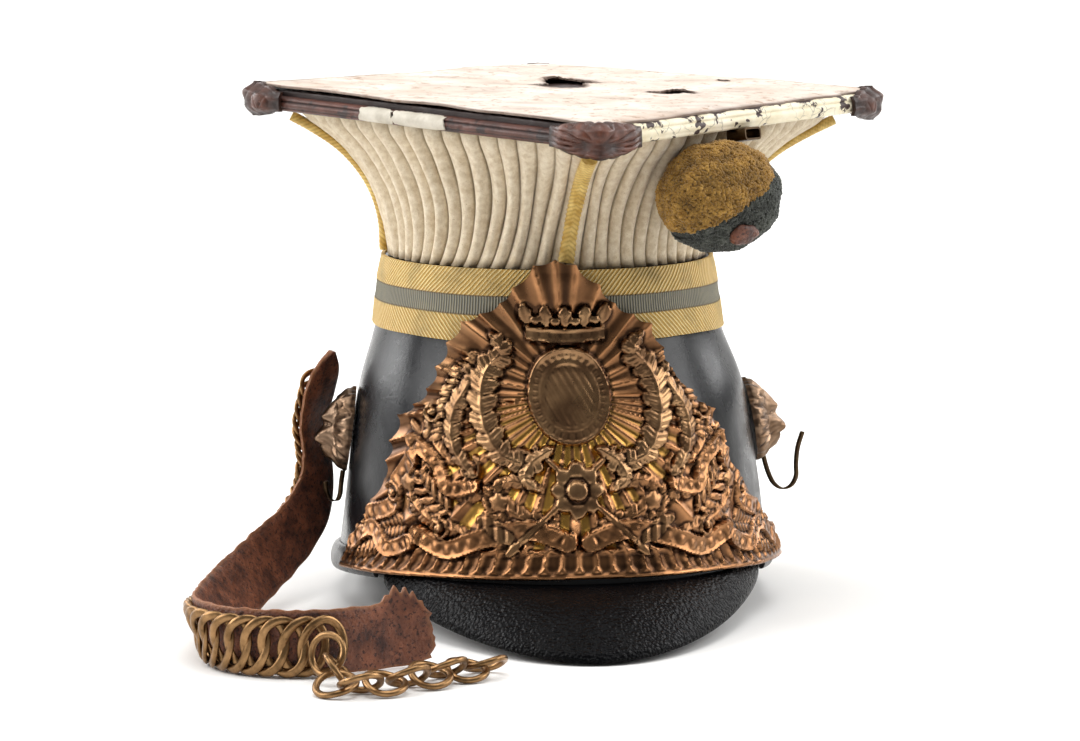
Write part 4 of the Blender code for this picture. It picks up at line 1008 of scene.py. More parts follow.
@dataclass
class FlutedTop:
    """The cloth top: upright padded flutes that spread to the square board."""

    sections: tuple = (
        # (height, corner radius, exponent, flute height)
        (127.0, 57.8, 2.0, 1.4),
        (141.0, 60.5, 1.92, 3.3),
        (152.0, 65.6, 1.78, 3.6),
        (161.0, 72.6, 1.60, 3.6),
        (169.0, 81.8, 1.40, 3.4),
        (175.5, 92.8, 1.22, 3.0),
        (181.5, 105.0, 1.03, 2.2),
    )
    flutes: int = 68
    sweep: float = 0.085
    points_per_flute: int = 11
    rows: int = 56
    wall: float = 4.0
    low: float = 127.0
    rise: float = 54.5
    lean_low: float = -4.5
    lean_high: float = 2.5

    def radius(self, angle: Array, level: Array) -> Array:
        """Return the radius without flutes."""
        corner = blend(self.sections, level, 1)
        power = blend(self.sections, level, 2)
        return corner / (np.abs(np.cos(angle)) ** power + np.abs(np.sin(angle)) ** power) ** (1 / power)

    def point(self, angle: Array, level: Array, offset: Array | float) -> Array:
        """Return points of the cloth's surface, moved outward by an offset."""
        reach = self.radius(angle, self.low + self.rise)
        top = BOARD.surface(self.lean_high + reach * np.sin(angle), -reach * np.cos(angle)) - BOARD.build_up
        part = (level - self.low) / self.rise
        height = self.low + part * (top - self.low)
        lean = self.lean_low + (self.lean_high - self.lean_low) * np.clip(part, 0.0, 1.0)
        stretch = 1.15 - 0.15 * np.clip((level - self.low) / 40.0, 0.0, 1.0)
        away = self.radius(angle, level) + offset
        angle, height, away, lean, stretch = np.broadcast_arrays(angle, height, away, lean, stretch)
        return np.stack([lean + away * np.sin(angle), -away * np.cos(angle) * stretch, height], -1)

    def spread(self, turn: Array, level: Array) -> Array:
        """Even the flutes out along the square's sides as they rise.

        Args:
            turn: even angles round the waist.
            level: heights in millimetres.

        Returns:
            The angles that the flutes reach at those heights.
        """
        quarter = np.floor(turn / (math.pi / 2))
        inside = turn - quarter * math.pi / 2
        along = inside / (math.pi / 2)
        straight = np.arctan2(along, 1 - along)
        share = 0.85 * ramp(level, 135.0, 181.0)
        toward = np.where(np.mod(quarter, 2) == 0, -1.0, 1.0)
        part = np.clip((level - self.low) / self.rise, 0.0, 1.0)
        sweep = self.sweep * np.sin(2 * inside) * np.sin(math.pi * part ** 0.8)
        return quarter * math.pi / 2 + inside * (1 - share) + straight * share + toward * sweep

    def build(self) -> None:
        """Make the fluted wall."""
        count = self.flutes * self.points_per_flute
        turn = np.arange(count)[None, :] * math.tau / count
        share = np.linspace(0, 1, self.rows)[:, None]
        level = 127.0 + 54.3 * share ** 0.85
        number = np.floor(turn * self.flutes / math.tau)
        phase = turn * self.flutes / math.tau - number
        height = blend(self.sections, level, 3)
        round_top = np.sin(math.pi * phase) ** 0.7
        uneven = 1 + 0.16 * np.sin(number * 2.4) + 0.10 * np.sin(number * 5.1 + 1)
        sway = 0.016 * np.sin(share * 5.0 + number * 1.3) * np.sin(math.pi * share)
        angle = self.spread(turn, level) + sway * 0.5
        lift = height * uneven * round_top
        bare = self.point(angle, level, lift)
        crumple = 0.22 * value_noise(bare, 7.0, 6.0) + 0.16 * value_noise(bare, 2.6, 8.0)
        outer = self.point(angle, level, lift + crumple * round_top)
        inner = self.point(angle, level, -self.wall)
        for layer in (outer, inner):
            under = BOARD.surface(layer[..., 0], layer[..., 1]) - BOARD.build_up
            layer[..., 2] += (under - layer[..., 2]) * ramp(share, 0.86, 1.0)
        made = make_wall("fluted_cloth", outer, inner, True, smooth=70.0)
        groove = np.broadcast_to(ramp(round_top, 0.0, 0.6), outer.shape[:2]).reshape(-1)
        # Darker towards the cloth's foot, where it meets the lace.
        darker_at_foot = 0.9 * ramp(level, 127.0, 132.0) + 0.1
        groove = groove * np.broadcast_to(darker_at_foot, outer.shape[:2]).reshape(-1)
        set_wear_and_shade(made, np.concatenate([groove, np.full(groove.shape, 0.6)]))
        finish_piece(made, Finishes.FELT.make(), ["fluted_top"])


@dataclass
class CornerCords:
    """The four gimp cords: herringbone plaits that cover the cloth's corner seams."""

    radius: float = 2.4
    stand_off: float = 2.7
    start: float = 128.6
    front_start: float = 129.8
    front_end: float = 176.0
    end: float = 179.0
    pitch: float = 1.8
    sides: int = 24

    def build(self) -> None:
        """Make the cords."""
        material = Finishes.GIMP.make()
        for side in Side:
            front = side is Side.FRONT
            start = self.front_start if front else self.start
            end = self.front_end if front else self.end
            level = np.linspace(start, end, 170)
            angle = np.full_like(level, math.pi / 2 * side.value)
            seam = TOP.point(angle, level, 0.0)
            rise = unit(np.gradient(seam, axis=0))
            out = np.array([math.sin(angle[0]), -math.cos(angle[0]), 0.0])
            way = seam + unit(out - rise * (rise @ out)[:, None]) * self.stand_off
            steps = np.linalg.norm(np.diff(way, axis=0), axis=1)
            walked = np.concatenate([[0], np.cumsum(steps)])
            points, faces = tube(way, np.tile([1.22, 0.85], (len(way), 1)), self.sides, np.tile(out, (len(way), 1)))
            rings = points.reshape(len(way), self.sides, 3)
            turn = np.arange(self.sides)[None, :] * math.tau / self.sides
            lean = np.abs(((turn - math.pi / 2 + math.pi) % math.tau) - math.pi)
            thread = np.cos(math.tau * (walked[:, None] / self.pitch) + lean * 5.5)
            ridge = (np.abs(np.sin(lean)) ** 0.5)
            swell = self.radius * (0.94 + 0.06 * thread * (0.35 + 0.65 * ridge)
                                   - 0.14 * np.exp(-(lean / 0.22) ** 2))
            rings = way[:, None] + (rings - way[:, None]) * swell[..., None]
            made = make_mesh("gimp_" + side.name.lower(), rings, faces, smooth=70.0)
            set_wear_and_shade(made, (0.6 + 0.4 * thread).reshape(-1))
            finish_piece(made, material, ["corner_cord_" + side.name.lower()])


TOP = FlutedTop()


@dataclass(frozen=True)
class Tear:
    """A torn hole in the top's skin, with a lifted lip behind it."""

    x: float
    y: float
    half_width: float
    half_length: float
    turn: float
    lip: float


@dataclass
class Board:
    """The square board: its core, its torn skin and the moulded strips round its edge."""

    side: float = 158.0
    centre: float = 187.8
    tilt: float = 6.35 / 116.0
    roll: float = -1.35 / 116.0
    saddle: float = 1.0
    reach: float = 116.0
    lean: float = 2.5
    skin: float = 1.2
    overhang: float = 2.6
    build_up: float = 6.7
    core: float = 4.6
    strips: tuple = ((-0.3, 7.0), (0.4, 6.6), (0.8, 6.2), (1.7, 5.6))
    moulding_depth: float = 3.6
    cells: int = 170
    tears: tuple[Tear, ...] = (
        Tear(4.0, 18.0, 8.4, 15.0, 12.0, 1.4),
        Tear(40.0, -17.0, 5.6, 6.5, -40.0, 0.8),
        Tear(66.0, 30.0, 1.8, 3.0, 30.0, 0.4),
    )

    def surface(self, x: Array, y: Array) -> Array:
        """Return the height of the upper face."""
        across = (x - self.lean) / self.reach
        along = y / self.reach
        level = self.centre + self.tilt * y + self.roll * (x - self.lean)
        return level + self.saddle * (across ** 2 - along ** 2)

    def build(self) -> None:
        """Make the core, the skin and the mouldings."""
        self.make_core()
        self.make_skin()
        self.make_mouldings()

    def make_core(self) -> None:
        """Make the core as a slab: a cube, turned, divided, bevelled and bent to the board's surface."""
        half = self.side / math.sqrt(2)
        bpy.ops.object.select_all(action="DESELECT")
        bpy.ops.mesh.primitive_cube_add(size=1.0)
        made = bpy.context.object
        made.name = "board_core"
        bpy.ops.object.mode_set(mode="EDIT")
        bpy.ops.mesh.select_all(action="SELECT")
        bpy.ops.transform.resize(value=(self.side * MM, self.side * MM, self.core * MM), center_override=(0, 0, 0))
        bpy.ops.transform.rotate(value=math.pi / 4, orient_axis="Z", center_override=(0, 0, 0))
        bpy.ops.mesh.bevel(offset=0.6 * MM, segments=2, affect="EDGES")
        bpy.ops.mesh.select_all(action="SELECT")
        bpy.ops.mesh.subdivide(number_cuts=8)
        bpy.ops.object.mode_set(mode="OBJECT")
        points = made_points(made) + OFFSET
        x, y = points[:, 0] + self.lean, points[:, 1]
        middle = self.surface(x, y) - self.skin - 0.3 - self.core / 2
        moved = np.stack([x, y, middle + points[:, 2]], -1)
        made.data.vertices.foreach_set("co", ((moved + OFFSET) * MM).ravel())
        # Painted shade: the core takes the full darkening colour, so the gaps under the skin and the tears read as
        # shade.
        set_wear_and_shade(made, np.zeros(len(moved)))
        finish_piece(made, Finishes.MOULDING.make(), ["top_board"])

    def torn(self, x: Array, y: Array) -> tuple[Array, Array]:
        """Return how deep in a tear each place is, from 1 at its middle to 0 at its edge, and the lip's lift."""
        depth = np.full(x.shape, -9.0)
        lift = np.zeros(x.shape)
        ragged = 0.22 * value_noise(np.stack([x, y, 0 * x], -1), 2.4, 11.0)
        for tear in self.tears:
            turn = math.radians(tear.turn)
            across = (x - tear.x) * math.cos(turn) + (y - tear.y) * math.sin(turn)
            along = -(x - tear.x) * math.sin(turn) + (y - tear.y) * math.cos(turn)
            away = np.hypot(across / tear.half_width, along / tear.half_length)
            edge = 1 + 0.3 * np.sign(along) * across / tear.half_width
            depth = np.maximum(depth, edge - away + ragged)
            behind = ramp(along / tear.half_length, -0.2, 0.9)
            lift += tear.lip * behind * np.exp(-((away - 1.0) / 0.22) ** 2)
        return depth, lift

    def make_skin(self) -> None:
        """Make the skin: a thin square that cockles, lifts at its rim and is torn through."""
        share = np.linspace(-1, 1, self.cells)
        u, v = np.meshgrid(share, share, indexing="xy")
        rough = 0.6 * value_noise(np.stack([u * 40, v * 40, 0 * u], -1), 5.0, 14.0)
        rough += 0.5 * value_noise(np.stack([u * 40, v * 40, 0 * u], -1), 1.3, 15.0)
        rim = np.maximum(np.abs(u), np.abs(v))
        half = (self.side / 2 + self.overhang / math.sqrt(2)) - 0.35 + rough * ramp(rim, 0.96, 1.0)
        x = (u - v) * half / math.sqrt(2) + self.lean
        y = (u + v) * half / math.sqrt(2)
        flat = np.stack([x, y, 0 * x], -1)
        cockle = 0.55 * value_noise(flat, 42.0, 2.0) + 0.22 * value_noise(flat, 13.0, 5.0)
        cockle += 0.08 * value_noise(flat, 4.0, 9.0)
        lifted = 0.5 * ramp(rim, 0.9, 1.0) * (0.4 + value_noise(flat, 24.0, 21.0))
        depth, lip = self.torn(x, y)
        top = self.surface(x, y) + (cockle + 0.25) * (1 - 0.75 * ramp(rim, 0.9, 1.0)) + lifted + lip
        top -= 0.85 * ramp(-v, 0.93, 1.0)
        low = top - 0.75
        whole = depth <= 0
        keep = whole[:-1, :-1] & whole[1:, :-1] & whole[:-1, 1:] & whole[1:, 1:]
        made, used = cut_sheet("board_skin", np.stack([x, y, top], -1), np.stack([x, y, low], -1), keep)
        streak = value_noise(np.stack([x * 0.35 + y, (y - x) * 0.3, 0 * x], -1), 9.0, 3.0)
        clean_and_unshaded = 0.78 + 0.35 * streak - 0.6 * ramp(rim, 0.965, 1.0) - 0.9 * ramp(depth, -0.45, 0.0)
        clean_and_unshaded = clean_and_unshaded[used]
        set_wear_and_shade(made, np.concatenate([clean_and_unshaded, clean_and_unshaded * 0.3]))
        finish_piece(made, Finishes.SKIN.make(), ["top_skin"])

    def edge_point(self, edge: int, along: Array, turn: Array, extra: Array | float) -> Array:
        """Return points of a moulding's surface.

        Args:
            edge: the edge's number, to the right from the front corner.
            along: share of the edge's length.
            turn: angle round the strip, from -90 degrees below to 90 above.
            extra: distance outward beyond the strip's plain shape.

        Returns:
            Points in cap millimetres.
        """
        half = self.side / math.sqrt(2)
        corners = np.array([[0, -half], [half, 0], [0, half], [-half, 0]], float)
        start, end = corners[edge], corners[(edge + 1) % 4]
        direction = (end - start) / np.linalg.norm(end - start)
        outward = np.array([direction[1], -direction[0]])
        along, turn, extra = np.broadcast_arrays(along, turn, extra)
        depth = 0.3 + self.moulding_depth * np.maximum(0.0, np.cos(turn)) ** 0.7 + extra * np.cos(turn)
        share = 0.012 + 0.976 * along
        place = start + (end - start) * share[..., None] + outward * depth[..., None]
        x, y = place[..., 0] + self.lean, place[..., 1]
        gap, height = self.strips[edge]
        drop = self.skin + 0.5 + gap + height / 2 * (1 - np.sin(turn))
        return np.stack([x, y, self.surface(x, y) - drop], -1)

    def make_mouldings(self) -> None:
        """Make the four strips: a groove along each, chipped paint on two, and two cream flakes in front."""
        names = ("front_right", "back_right", "back_left", "front_left")
        brown = Finishes.MOULDING.make()
        cream = Finishes.CREAM.make()
        along = np.linspace(0, 1, 240)[:, None]
        turn = np.linspace(-math.pi / 2, math.pi / 2, 22)[None, :]
        for edge, name in enumerate(names):
            groove = -0.75 * np.exp(-((turn - 0.35) / 0.16) ** 2) - 0.5 * np.exp(-((turn + 0.55) / 0.14) ** 2)
            plain = self.edge_point(edge, along, turn, 0.0)
            chips = np.minimum(0.0, value_noise(plain, 3.2, 4.0 + edge) + 0.32) * 0.9
            rings = self.edge_point(edge, along, turn, groove + chips)
            sides = rings.shape[1]
            faces = grid_faces(len(rings), sides, True)
            faces += [tuple(range(sides)), tuple((len(rings) - 1) * sides + step for step in range(sides))]
            parts = [(rings.reshape(-1, 3), faces)]
            if name == "front_left":
                parts += [self.flake(edge, 0.325, 0.425, 0.5), self.flake(edge, 0.43, 0.585, 2.5)]
            made = join_parts("edge_" + name, parts, 50.0)
            count = len(rings) * sides
            wear_and_shade = np.ones(len(made.data.vertices))
            edges = ramp(np.abs(turn) + 0.35 * value_noise(plain, 6.0, 9.0), 1.1, 1.7)
            lost = ramp(value_noise(plain, 8.0, 31.0 + edge) + 0.55 * value_noise(plain, 2.2, 33.0), 0.34, 0.5)
            lost = np.maximum(lost, ramp(0.10 - along, 0.0, 0.03) * ramp(-turn, -0.2, 0.3) * (edge == 0))
            wear_and_shade[:count] = (1.0 + 1.6 * (groove * (edge > 1) + chips) - 0.9 * edges - lost).reshape(-1)
            set_wear_and_shade(made, wear_and_shade)
            finish_piece(made, cream if edge < 2 else brown, ["edge_moulding_" + name])
            if name == "front_left":
                made.data.materials.append(Finishes.FLAKE.make())
                for face in made.data.polygons:
                    face.material_index = int(min(face.vertices) >= count)

    def flake(self, edge: int, start: float, end: float, seed: float) -> tuple[Array, list]:
        """Return a flake of old paint that clings to a moulding."""
        along = np.linspace(start, end, 60)[:, None]
        share = np.linspace(-1, 1, 14)[None, :]
        places = np.stack(np.broadcast_arrays(along * 220, share * 3, seed), -1)
        ragged = 0.92 + 0.2 * value_noise(places, 7.0, seed) + 0.12 * value_noise(places, 1.6, seed)
        part = (along - start) / (end - start)
        taper = np.sin(math.pi * np.clip(part, 0.05, 0.95)) ** 0.14
        along = along + 0.010 * np.abs(2 * part - 1) ** 3 * value_noise(places[:1] * 0 + places, 1.9, seed + 4.0)
        turn = 0.08 + share * 1.45 * np.minimum(1.0, ragged * taper)
        upper = self.edge_point(edge, along, turn, 0.75)
        lower = self.edge_point(edge, along, turn, 0.05)
        rows, columns = upper.shape[:2]
        shift = rows * columns
        faces = grid_faces(rows, columns, False) + grid_faces(rows, columns, False, shift)
        border = list(range(columns - 1)) + [row * columns + columns - 1 for row in range(rows - 1)]
        border += list(range(shift - 1, shift - columns, -1)) + [row * columns for row in range(rows - 1, 0, -1)]
        for place, first in enumerate(border):
            beside = border[(place + 1) % len(border)]
            faces.append((first, beside, shift + beside, shift + first))
        return np.concatenate([upper.reshape(-1, 3), lower.reshape(-1, 3)]), faces


BOARD = Board()


@dataclass
class CornerShells:
    """The shell ornaments over the board's corners: ribbed fans bent round each corner."""

    reach: float = 17.5
    front_reach: float = 21.0
    height: float = 12.8
    thickness: float = 1.5
    columns: int = 141
    rows: int = 57
    ribs: int = 13

    def relief(self, side: Array, level: Array, lobes: bool) -> Array:
        """Return the carved height of a shell.

        Args:
            side: places across, from -1 to 1.
            level: places upward, from 0 to 1.
            lobes: whether a round lobe stands on either arm.

        Returns:
            Heights in millimetres.
        """
        up = (level - 0.34) * 2.0
        away = np.hypot(side * 1.05, up)
        fan = np.arctan2(side * 1.15, up)
        ribs = np.abs(np.cos(fan * self.ribs / 2)) ** 0.55
        bowl = 1.9 * np.sin(np.clip(away / 0.95, 0, 1) * math.pi * 0.62) ** 0.8
        shell = bowl + 0.95 * ribs * ramp(away, 0.16, 0.6)
        shell += 0.9 * np.exp(-(away / 0.13) ** 2)
        if lobes:
            for sign in (-1, 1):
                across = (side - sign * 0.50) / 0.27
                rise = (level - 0.44) / 0.38
                lobe = np.clip(1 - across ** 2 - rise ** 2, 0, 1) ** 0.5
                folds = np.abs(np.cos(np.arctan2(across, rise + 0.7) * 3.5)) ** 0.5
                shell = np.maximum(shell * 0.72, lobe * (2.7 + 0.6 * folds))
        return shell * ramp(1.04 - np.abs(side), 0.0, 0.4) * ramp(level, -0.02, 0.16)

    def build(self) -> None:
        """Make the four ornaments."""
        half = BOARD.side / math.sqrt(2)
        base = BOARD.moulding_depth + 0.6
        material = Finishes.SHELL.make()
        side = np.linspace(-1, 1, self.columns)[None, :]
        level = np.linspace(0, 1, self.rows)[:, None]
        crown = np.maximum(0.24, 1 - np.abs(side) ** 2.2)
        scallop = np.abs(np.cos(side * self.ribs * 0.78)) ** 0.6
        reach_up = 1.0 - 0.16 * (1 - scallop) * ramp(level, 0.6, 1.0) - 0.07 * (1 - scallop) * ramp(-level, -0.3, 0.0)
        height = self.height * (level - 0.5) * (0.42 + 0.58 * crown) * reach_up
        sign = np.where(side < 0, -1.0, 1.0)
        blend_in = np.clip(np.abs(side) / 0.24, 0, 1)
        facing = unit(np.stack([sign * blend_in, -np.ones_like(side), 0 * side], -1))
        for quarter in Side:
            away = np.abs(side) * (self.front_reach if quarter is Side.FRONT else self.reach)
            corner = np.stack([sign * away / math.sqrt(2), -half - base * math.sqrt(2) + away / math.sqrt(2)
                               + (1 - blend_in) ** 2 * 0.9, 0 * side], -1)
            turn = quarter.value * math.pi / 2
            spin = np.array([[math.cos(turn), -math.sin(turn), 0], [math.sin(turn), math.cos(turn), 0], [0, 0, 1]])
            carved = self.relief(side + 0 * level, level + 0 * side, quarter is not Side.FRONT)
            carved = carved * (1.0 if quarter is Side.FRONT else 0.78)
            rough = value_noise(np.stack([side * 20 + 0 * level, level * 12 + 0 * side, 0 * carved], -1), 3.0,
                                2.0 + quarter.value)
            layers = []
            for extra in (self.thickness + carved + 0.25 * rough, 0 * carved):
                fold = ramp(level, 0.78, 1.0) * 2.2 * crown
                if quarter is not Side.FRONT:
                    fold = (ramp(level, 0.7, 1.0) * 4.2 + (1 - ramp(level, 0.0, 0.3)) * 2.6) * crown
                place = (corner + facing * (extra - fold)[..., None]) @ spin.T
                place[..., 0] += BOARD.lean
                lift = np.minimum(height, 5.6) if quarter is Side.BACK else height
                place[..., 2] = BOARD.surface(place[..., 0], place[..., 1]) - 5.4 + lift
                layers.append(place)
            made = make_wall("shell_" + quarter.name.lower(), layers[0], layers[1], False, smooth=60.0)
            wear_and_shade = np.clip(carved / 3.0 + 0.25 * rough, 0, 1).reshape(-1)
            set_wear_and_shade(made, np.concatenate([wear_and_shade, np.full(wear_and_shade.shape, 0.2)]))
            finish_piece(made, material, ["corner_shell_" + quarter.name.lower()])


class Relief:
    """A stamped relief on a grid of places, all in millimetres: s along the plate and h up it.

    It keeps each place's height, its tone from 0, a painted gold highlight, to 1, olive tarnish, and the painted shade
    along the groove that sinks round each shape's edge.
    """

    def __init__(self, s: Array, h: Array) -> None:
        """Start with a flat field."""
        self.s = s
        self.h = h
        self.height = np.zeros_like(s)
        self.age = np.full_like(s, 0.5)
        # Painted shade along the grooves round the shapes.
        self.cut = np.zeros_like(s)
        self.tone = 0.5

    def over(self, mask: Array, height: Array) -> None:
        """Lay a shape over what is there, its mask from 0 to 1, sink a narrow groove round it and keep painted shade
        along that groove.
        """
        ring = blurred(mask, 5) * (1 - mask)
        self.height = (self.height - 1.3 * ring) * (1 - mask) + height * mask
        self.age = self.age * (1 - mask) + self.tone * mask
        # Painted shade: the groove round the shape is kept to darken the colour there.
        self.cut = np.maximum(self.cut * (1 - mask), ring)

    def oval(self, cx: float, cy: float, a: float, b: float, turn: float = 0.0) -> Array:
        """Return how far out each place lies in an oval: 0 at its middle and 1 at its edge."""
        along = (self.s - cx) * math.cos(turn) + (self.h - cy) * math.sin(turn)
        across = -(self.s - cx) * math.sin(turn) + (self.h - cy) * math.cos(turn)
        return np.hypot(along / a, across / b)

    def leaf(self, cx: float, cy: float, length: float, width: float, turn: float, base: float) -> None:
        """Raise a leaf with a midrib, pointed at both ends."""
        along = ((self.s - cx) * math.cos(turn) + (self.h - cy) * math.sin(turn)) / (length / 2)
        across = (-(self.s - cx) * math.sin(turn) + (self.h - cy) * math.cos(turn)) / (width / 2)
        edge = np.maximum(0.0, 1 - along ** 2)
        inside = np.clip(edge - np.abs(across), 0, 1)
        shape = base + 1.0 * np.sqrt(inside) - 0.55 * np.exp(-(across / 0.15) ** 2) * (inside > 0)
        self.over(ramp(inside, 0.0, 0.12), shape)

    def stroke(self, way: Array, width: Array | float, base: float, rise: float) -> None:
        """Raise a round bar along a way."""
        distance, _, _ = self.distance(way)
        inside = np.clip(1 - distance / (np.asarray(width) / 2), 0, 1)
        self.over(ramp(inside, 0.0, 0.25), base + rise * np.sqrt(inside))

    def distance(self, way: Array) -> tuple[Array, Array, Array]:
        """Return each place's distance from a way, its share along it and its signed side."""
        best = np.full(self.s.shape, 1e9)
        share = np.zeros(self.s.shape)
        signed = np.zeros(self.s.shape)
        count = len(way) - 1
        for place in range(count):
            (x0, y0), (x1, y1) = way[place], way[place + 1]
            dx, dy = x1 - x0, y1 - y0
            t = np.clip(((self.s - x0) * dx + (self.h - y0) * dy) / (dx * dx + dy * dy), 0, 1)
            away = np.hypot(self.s - x0 - t * dx, self.h - y0 - t * dy)
            closer = away < best
            best = np.where(closer, away, best)
            share = np.where(closer, (place + t) / count, share)
            side = np.sign(dx * (self.h - y0) - dy * (self.s - x0))
            signed = np.where(closer, away * side, signed)
        return best, share, signed

    def ribbon(self, points: Sequence[Sequence[float]], width: float, base: float) -> None:
        """Raise a blank ribbon that waves along a way, with rims and rolled ends."""
        distance, share, signed = self.distance(smooth_way(points, 10))
        half = width / 2
        wave = 0.55 * np.cos(share * math.pi * 5)
        roll = 1.1 * (ramp(-share, -0.07, -0.01) + ramp(share, 0.93, 0.99))
        studs = np.cos(share * math.pi * len(points) * 4.5) * np.cos(math.pi * np.clip(distance / half, 0, 0.5))
        shape = base + 1.1 + wave + roll + 0.6 * np.exp(-((half - 0.6 - distance) / 0.35) ** 2) + 0.45 * studs
        self.over(ramp(half - distance, -0.1, 0.25), shape)

    def foliage(self, points: Sequence[Sequence[float]], width: float, lobes: float, base: float) -> None:
        """Raise a long leaf along a way: lobed edges, a midrib and a vein in every lobe."""
        distance, share, _ = self.distance(smooth_way(points, 10))
        beat = np.abs(np.cos(share * math.pi * lobes - 3.0 * distance / width)) ** 0.7
        taper = np.sin(math.pi * np.clip(share * 0.9 + 0.08, 0.02, 0.98)) ** 0.6
        half = width / 2 * taper * (0.62 + 0.38 * beat)
        inside = np.clip(1 - distance / half, 0, 1)
        veins = 0.35 * np.cos(share * math.pi * lobes * 6 - 14.0 * distance / width) * ramp(distance, 0.5, 1.2)
        shape = base + 1.8 * np.sqrt(inside) * (0.6 + 0.4 * beat) + 0.6 * np.exp(-(distance / 0.5) ** 2) + veins
        self.over(ramp(inside, 0.0, 0.12), shape)


@dataclass
class FrontPlate:
    """The stamped plate: hollowed rays, a plain oval shield, a plain coronet, sprays, scrolls and ribbons."""

    cusps_left: tuple = (
        # (place along the skull, height): the tips of the rays, from the foot to the top
        (-108.6, 20.5), (-98.4, 32.7), (-87.9, 42.4), (-79.4, 50.4), (-75.6, 57.4), (-73.2, 64.5), (-68.2, 74.1),
        (-60.0, 78.4), (-53.3, 84.3), (-48.9, 92.0), (-42.2, 101.0), (-36.1, 108.7), (-29.0, 111.8),
        (-21.7, 115.8), (-17.3, 121.4), (-10.5, 129.4), (-3.8, 131.4),
    )
    cusps_right: tuple = (
        # (place along the skull, height): the tips of the rays, from the top to the foot
        (2.7, 129.6), (10.3, 122.5), (15.7, 115.6), (22.6, 111.4), (29.8, 107.9), (34.7, 98.9), (38.8, 91.4),
        (47.3, 83.4), (57.8, 76.0), (61.4, 68.8), (63.6, 62.4), (70.6, 53.0), (78.0, 47.0), (85.6, 41.3),
        (96.0, 34.4), (107.0, 29.6), (117.4, 22.6),
    )
    centre: tuple = (-0.8, 84.0)
    foot: float = 16.0
    foot_rise: float = 6.0
    foot_middle: float = 5.5
    foot_half: float = 112.5
    sag: float = 0.13
    lower_rays: float = 9.0
    lobed: tuple = (
        # (way, width, lobes) of the low leaves behind the rest
        (((8.0, 40.0), (20.0, 43.0), (33.0, 50.0), (45.0, 48.0)), 9.0, 7),
        (((40.0, 36.0), (52.0, 39.0), (62.0, 45.0), (64.0, 56.0)), 8.5, 7),
        (((70.0, 30.0), (80.0, 31.0), (88.0, 27.0)), 6.5, 4),
        (((44.0, 60.0), (52.0, 67.0), (53.0, 76.0)), 8.0, 4),
        (((12.0, 52.0), (21.0, 55.0), (30.0, 52.0)), 6.0, 3),
    )
    sprays: tuple = (
        # (way, lean of the leaves, their length, their width)
        (((46.0, 42.0), (58.0, 53.0), (57.0, 68.0)), 0.85, 8.6, 3.0),
        (((28.0, 96.0), (37.0, 90.0), (44.0, 80.0), (48.0, 68.0)), 0.95, 7.0, 2.5),
        (((66.0, 36.0), (76.0, 34.0), (88.0, 28.0), (101.0, 27.0)), 0.9, 7.8, 2.8),
        (((20.0, 33.0), (27.0, 41.0), (29.0, 50.0)), 0.8, 6.6, 2.5),
    )
    great: tuple = (
        # (way, width, lobes, height) of the leaves beside the shield
        (((36.0, 56.0), (43.0, 66.0), (42.0, 78.0), (35.0, 88.0), (37.0, 94.0)), 8.0, 9, 1.7),
        (((13.0, 60.0), (25.0, 64.0), (31.0, 76.0), (29.5, 90.0), (22.0, 99.0), (25.5, 104.5)), 12.0, 11, 2.0),
        (((8.0, 66.0), (14.0, 62.0), (17.0, 56.0), (13.0, 52.0)), 6.0, 4, 2.4),
    )
    spirals: tuple = (
        # (across, height, reach, start in degrees, turns, bar)
        (17.5, 60.5, 4.8, 60.0, 1.4, 2.4),
        (37.5, 58.5, 4.6, 120.0, 1.3, 2.2),
        (52.0, 76.5, 3.6, 200.0, 1.2, 1.8),
        (72.5, 46.5, 4.2, 30.0, 1.3, 2.0),
        (50.0, 36.5, 3.8, 90.0, 1.2, 1.9),
        (92.0, 34.0, 3.0, 20.0, 1.2, 1.6),
    )
    cell: float = 0.55
    sheet: float = 0.8
    stand_off: float = 0.8
    flare: float = 2.7

    def foot_level(self, s: Array) -> Array:
        """Return the height of the plate's lower edge."""
        side = np.clip(np.abs(s - self.foot_middle) / self.foot_half, 0, 1)
        return self.foot + self.foot_rise * (1 - side ** 1.6)

    def outline(self) -> Array:
        """Return the plate's outline: hollow arcs between the rays' tips and a smooth foot."""
        points = []
        tips = np.array(self.cusps_left + self.cusps_right)
        for start, end in zip(tips, tips[1:]):
            share = np.linspace(0, 1, 7)[:-1, None]
            across = np.array([end[1] - start[1], start[0] - end[0]])
            points.append(start + (end - start) * share + across * self.sag * 4 * share * (1 - share))
        right = np.linspace(tips[-1][0] + 0.4, tips[0][0] + 0.6, 80)
        points.append(tips[-1:])
        points.append(np.stack([right, self.foot_level(right)], -1))
        return np.concatenate(points)

    def clearance(self, level: Array) -> Array:
        """Return how far the plate stands out to clear the lace and the flutes."""
        return 2.1 * ramp(level, 92.0, 101.7) + 2.9 * ramp(level, 106.0, 128.0)

    def bent_out(self, angle: Array, level: Array) -> Array:
        """Return how far the lower ends bend out over the rolled rim."""
        upright = np.clip((35.0 - level) / 14.0, 0.0, 1.0)
        return self.flare * upright * np.clip((np.abs(np.degrees(angle)) - 40.0) / 15.0, 0.0, 1.0)

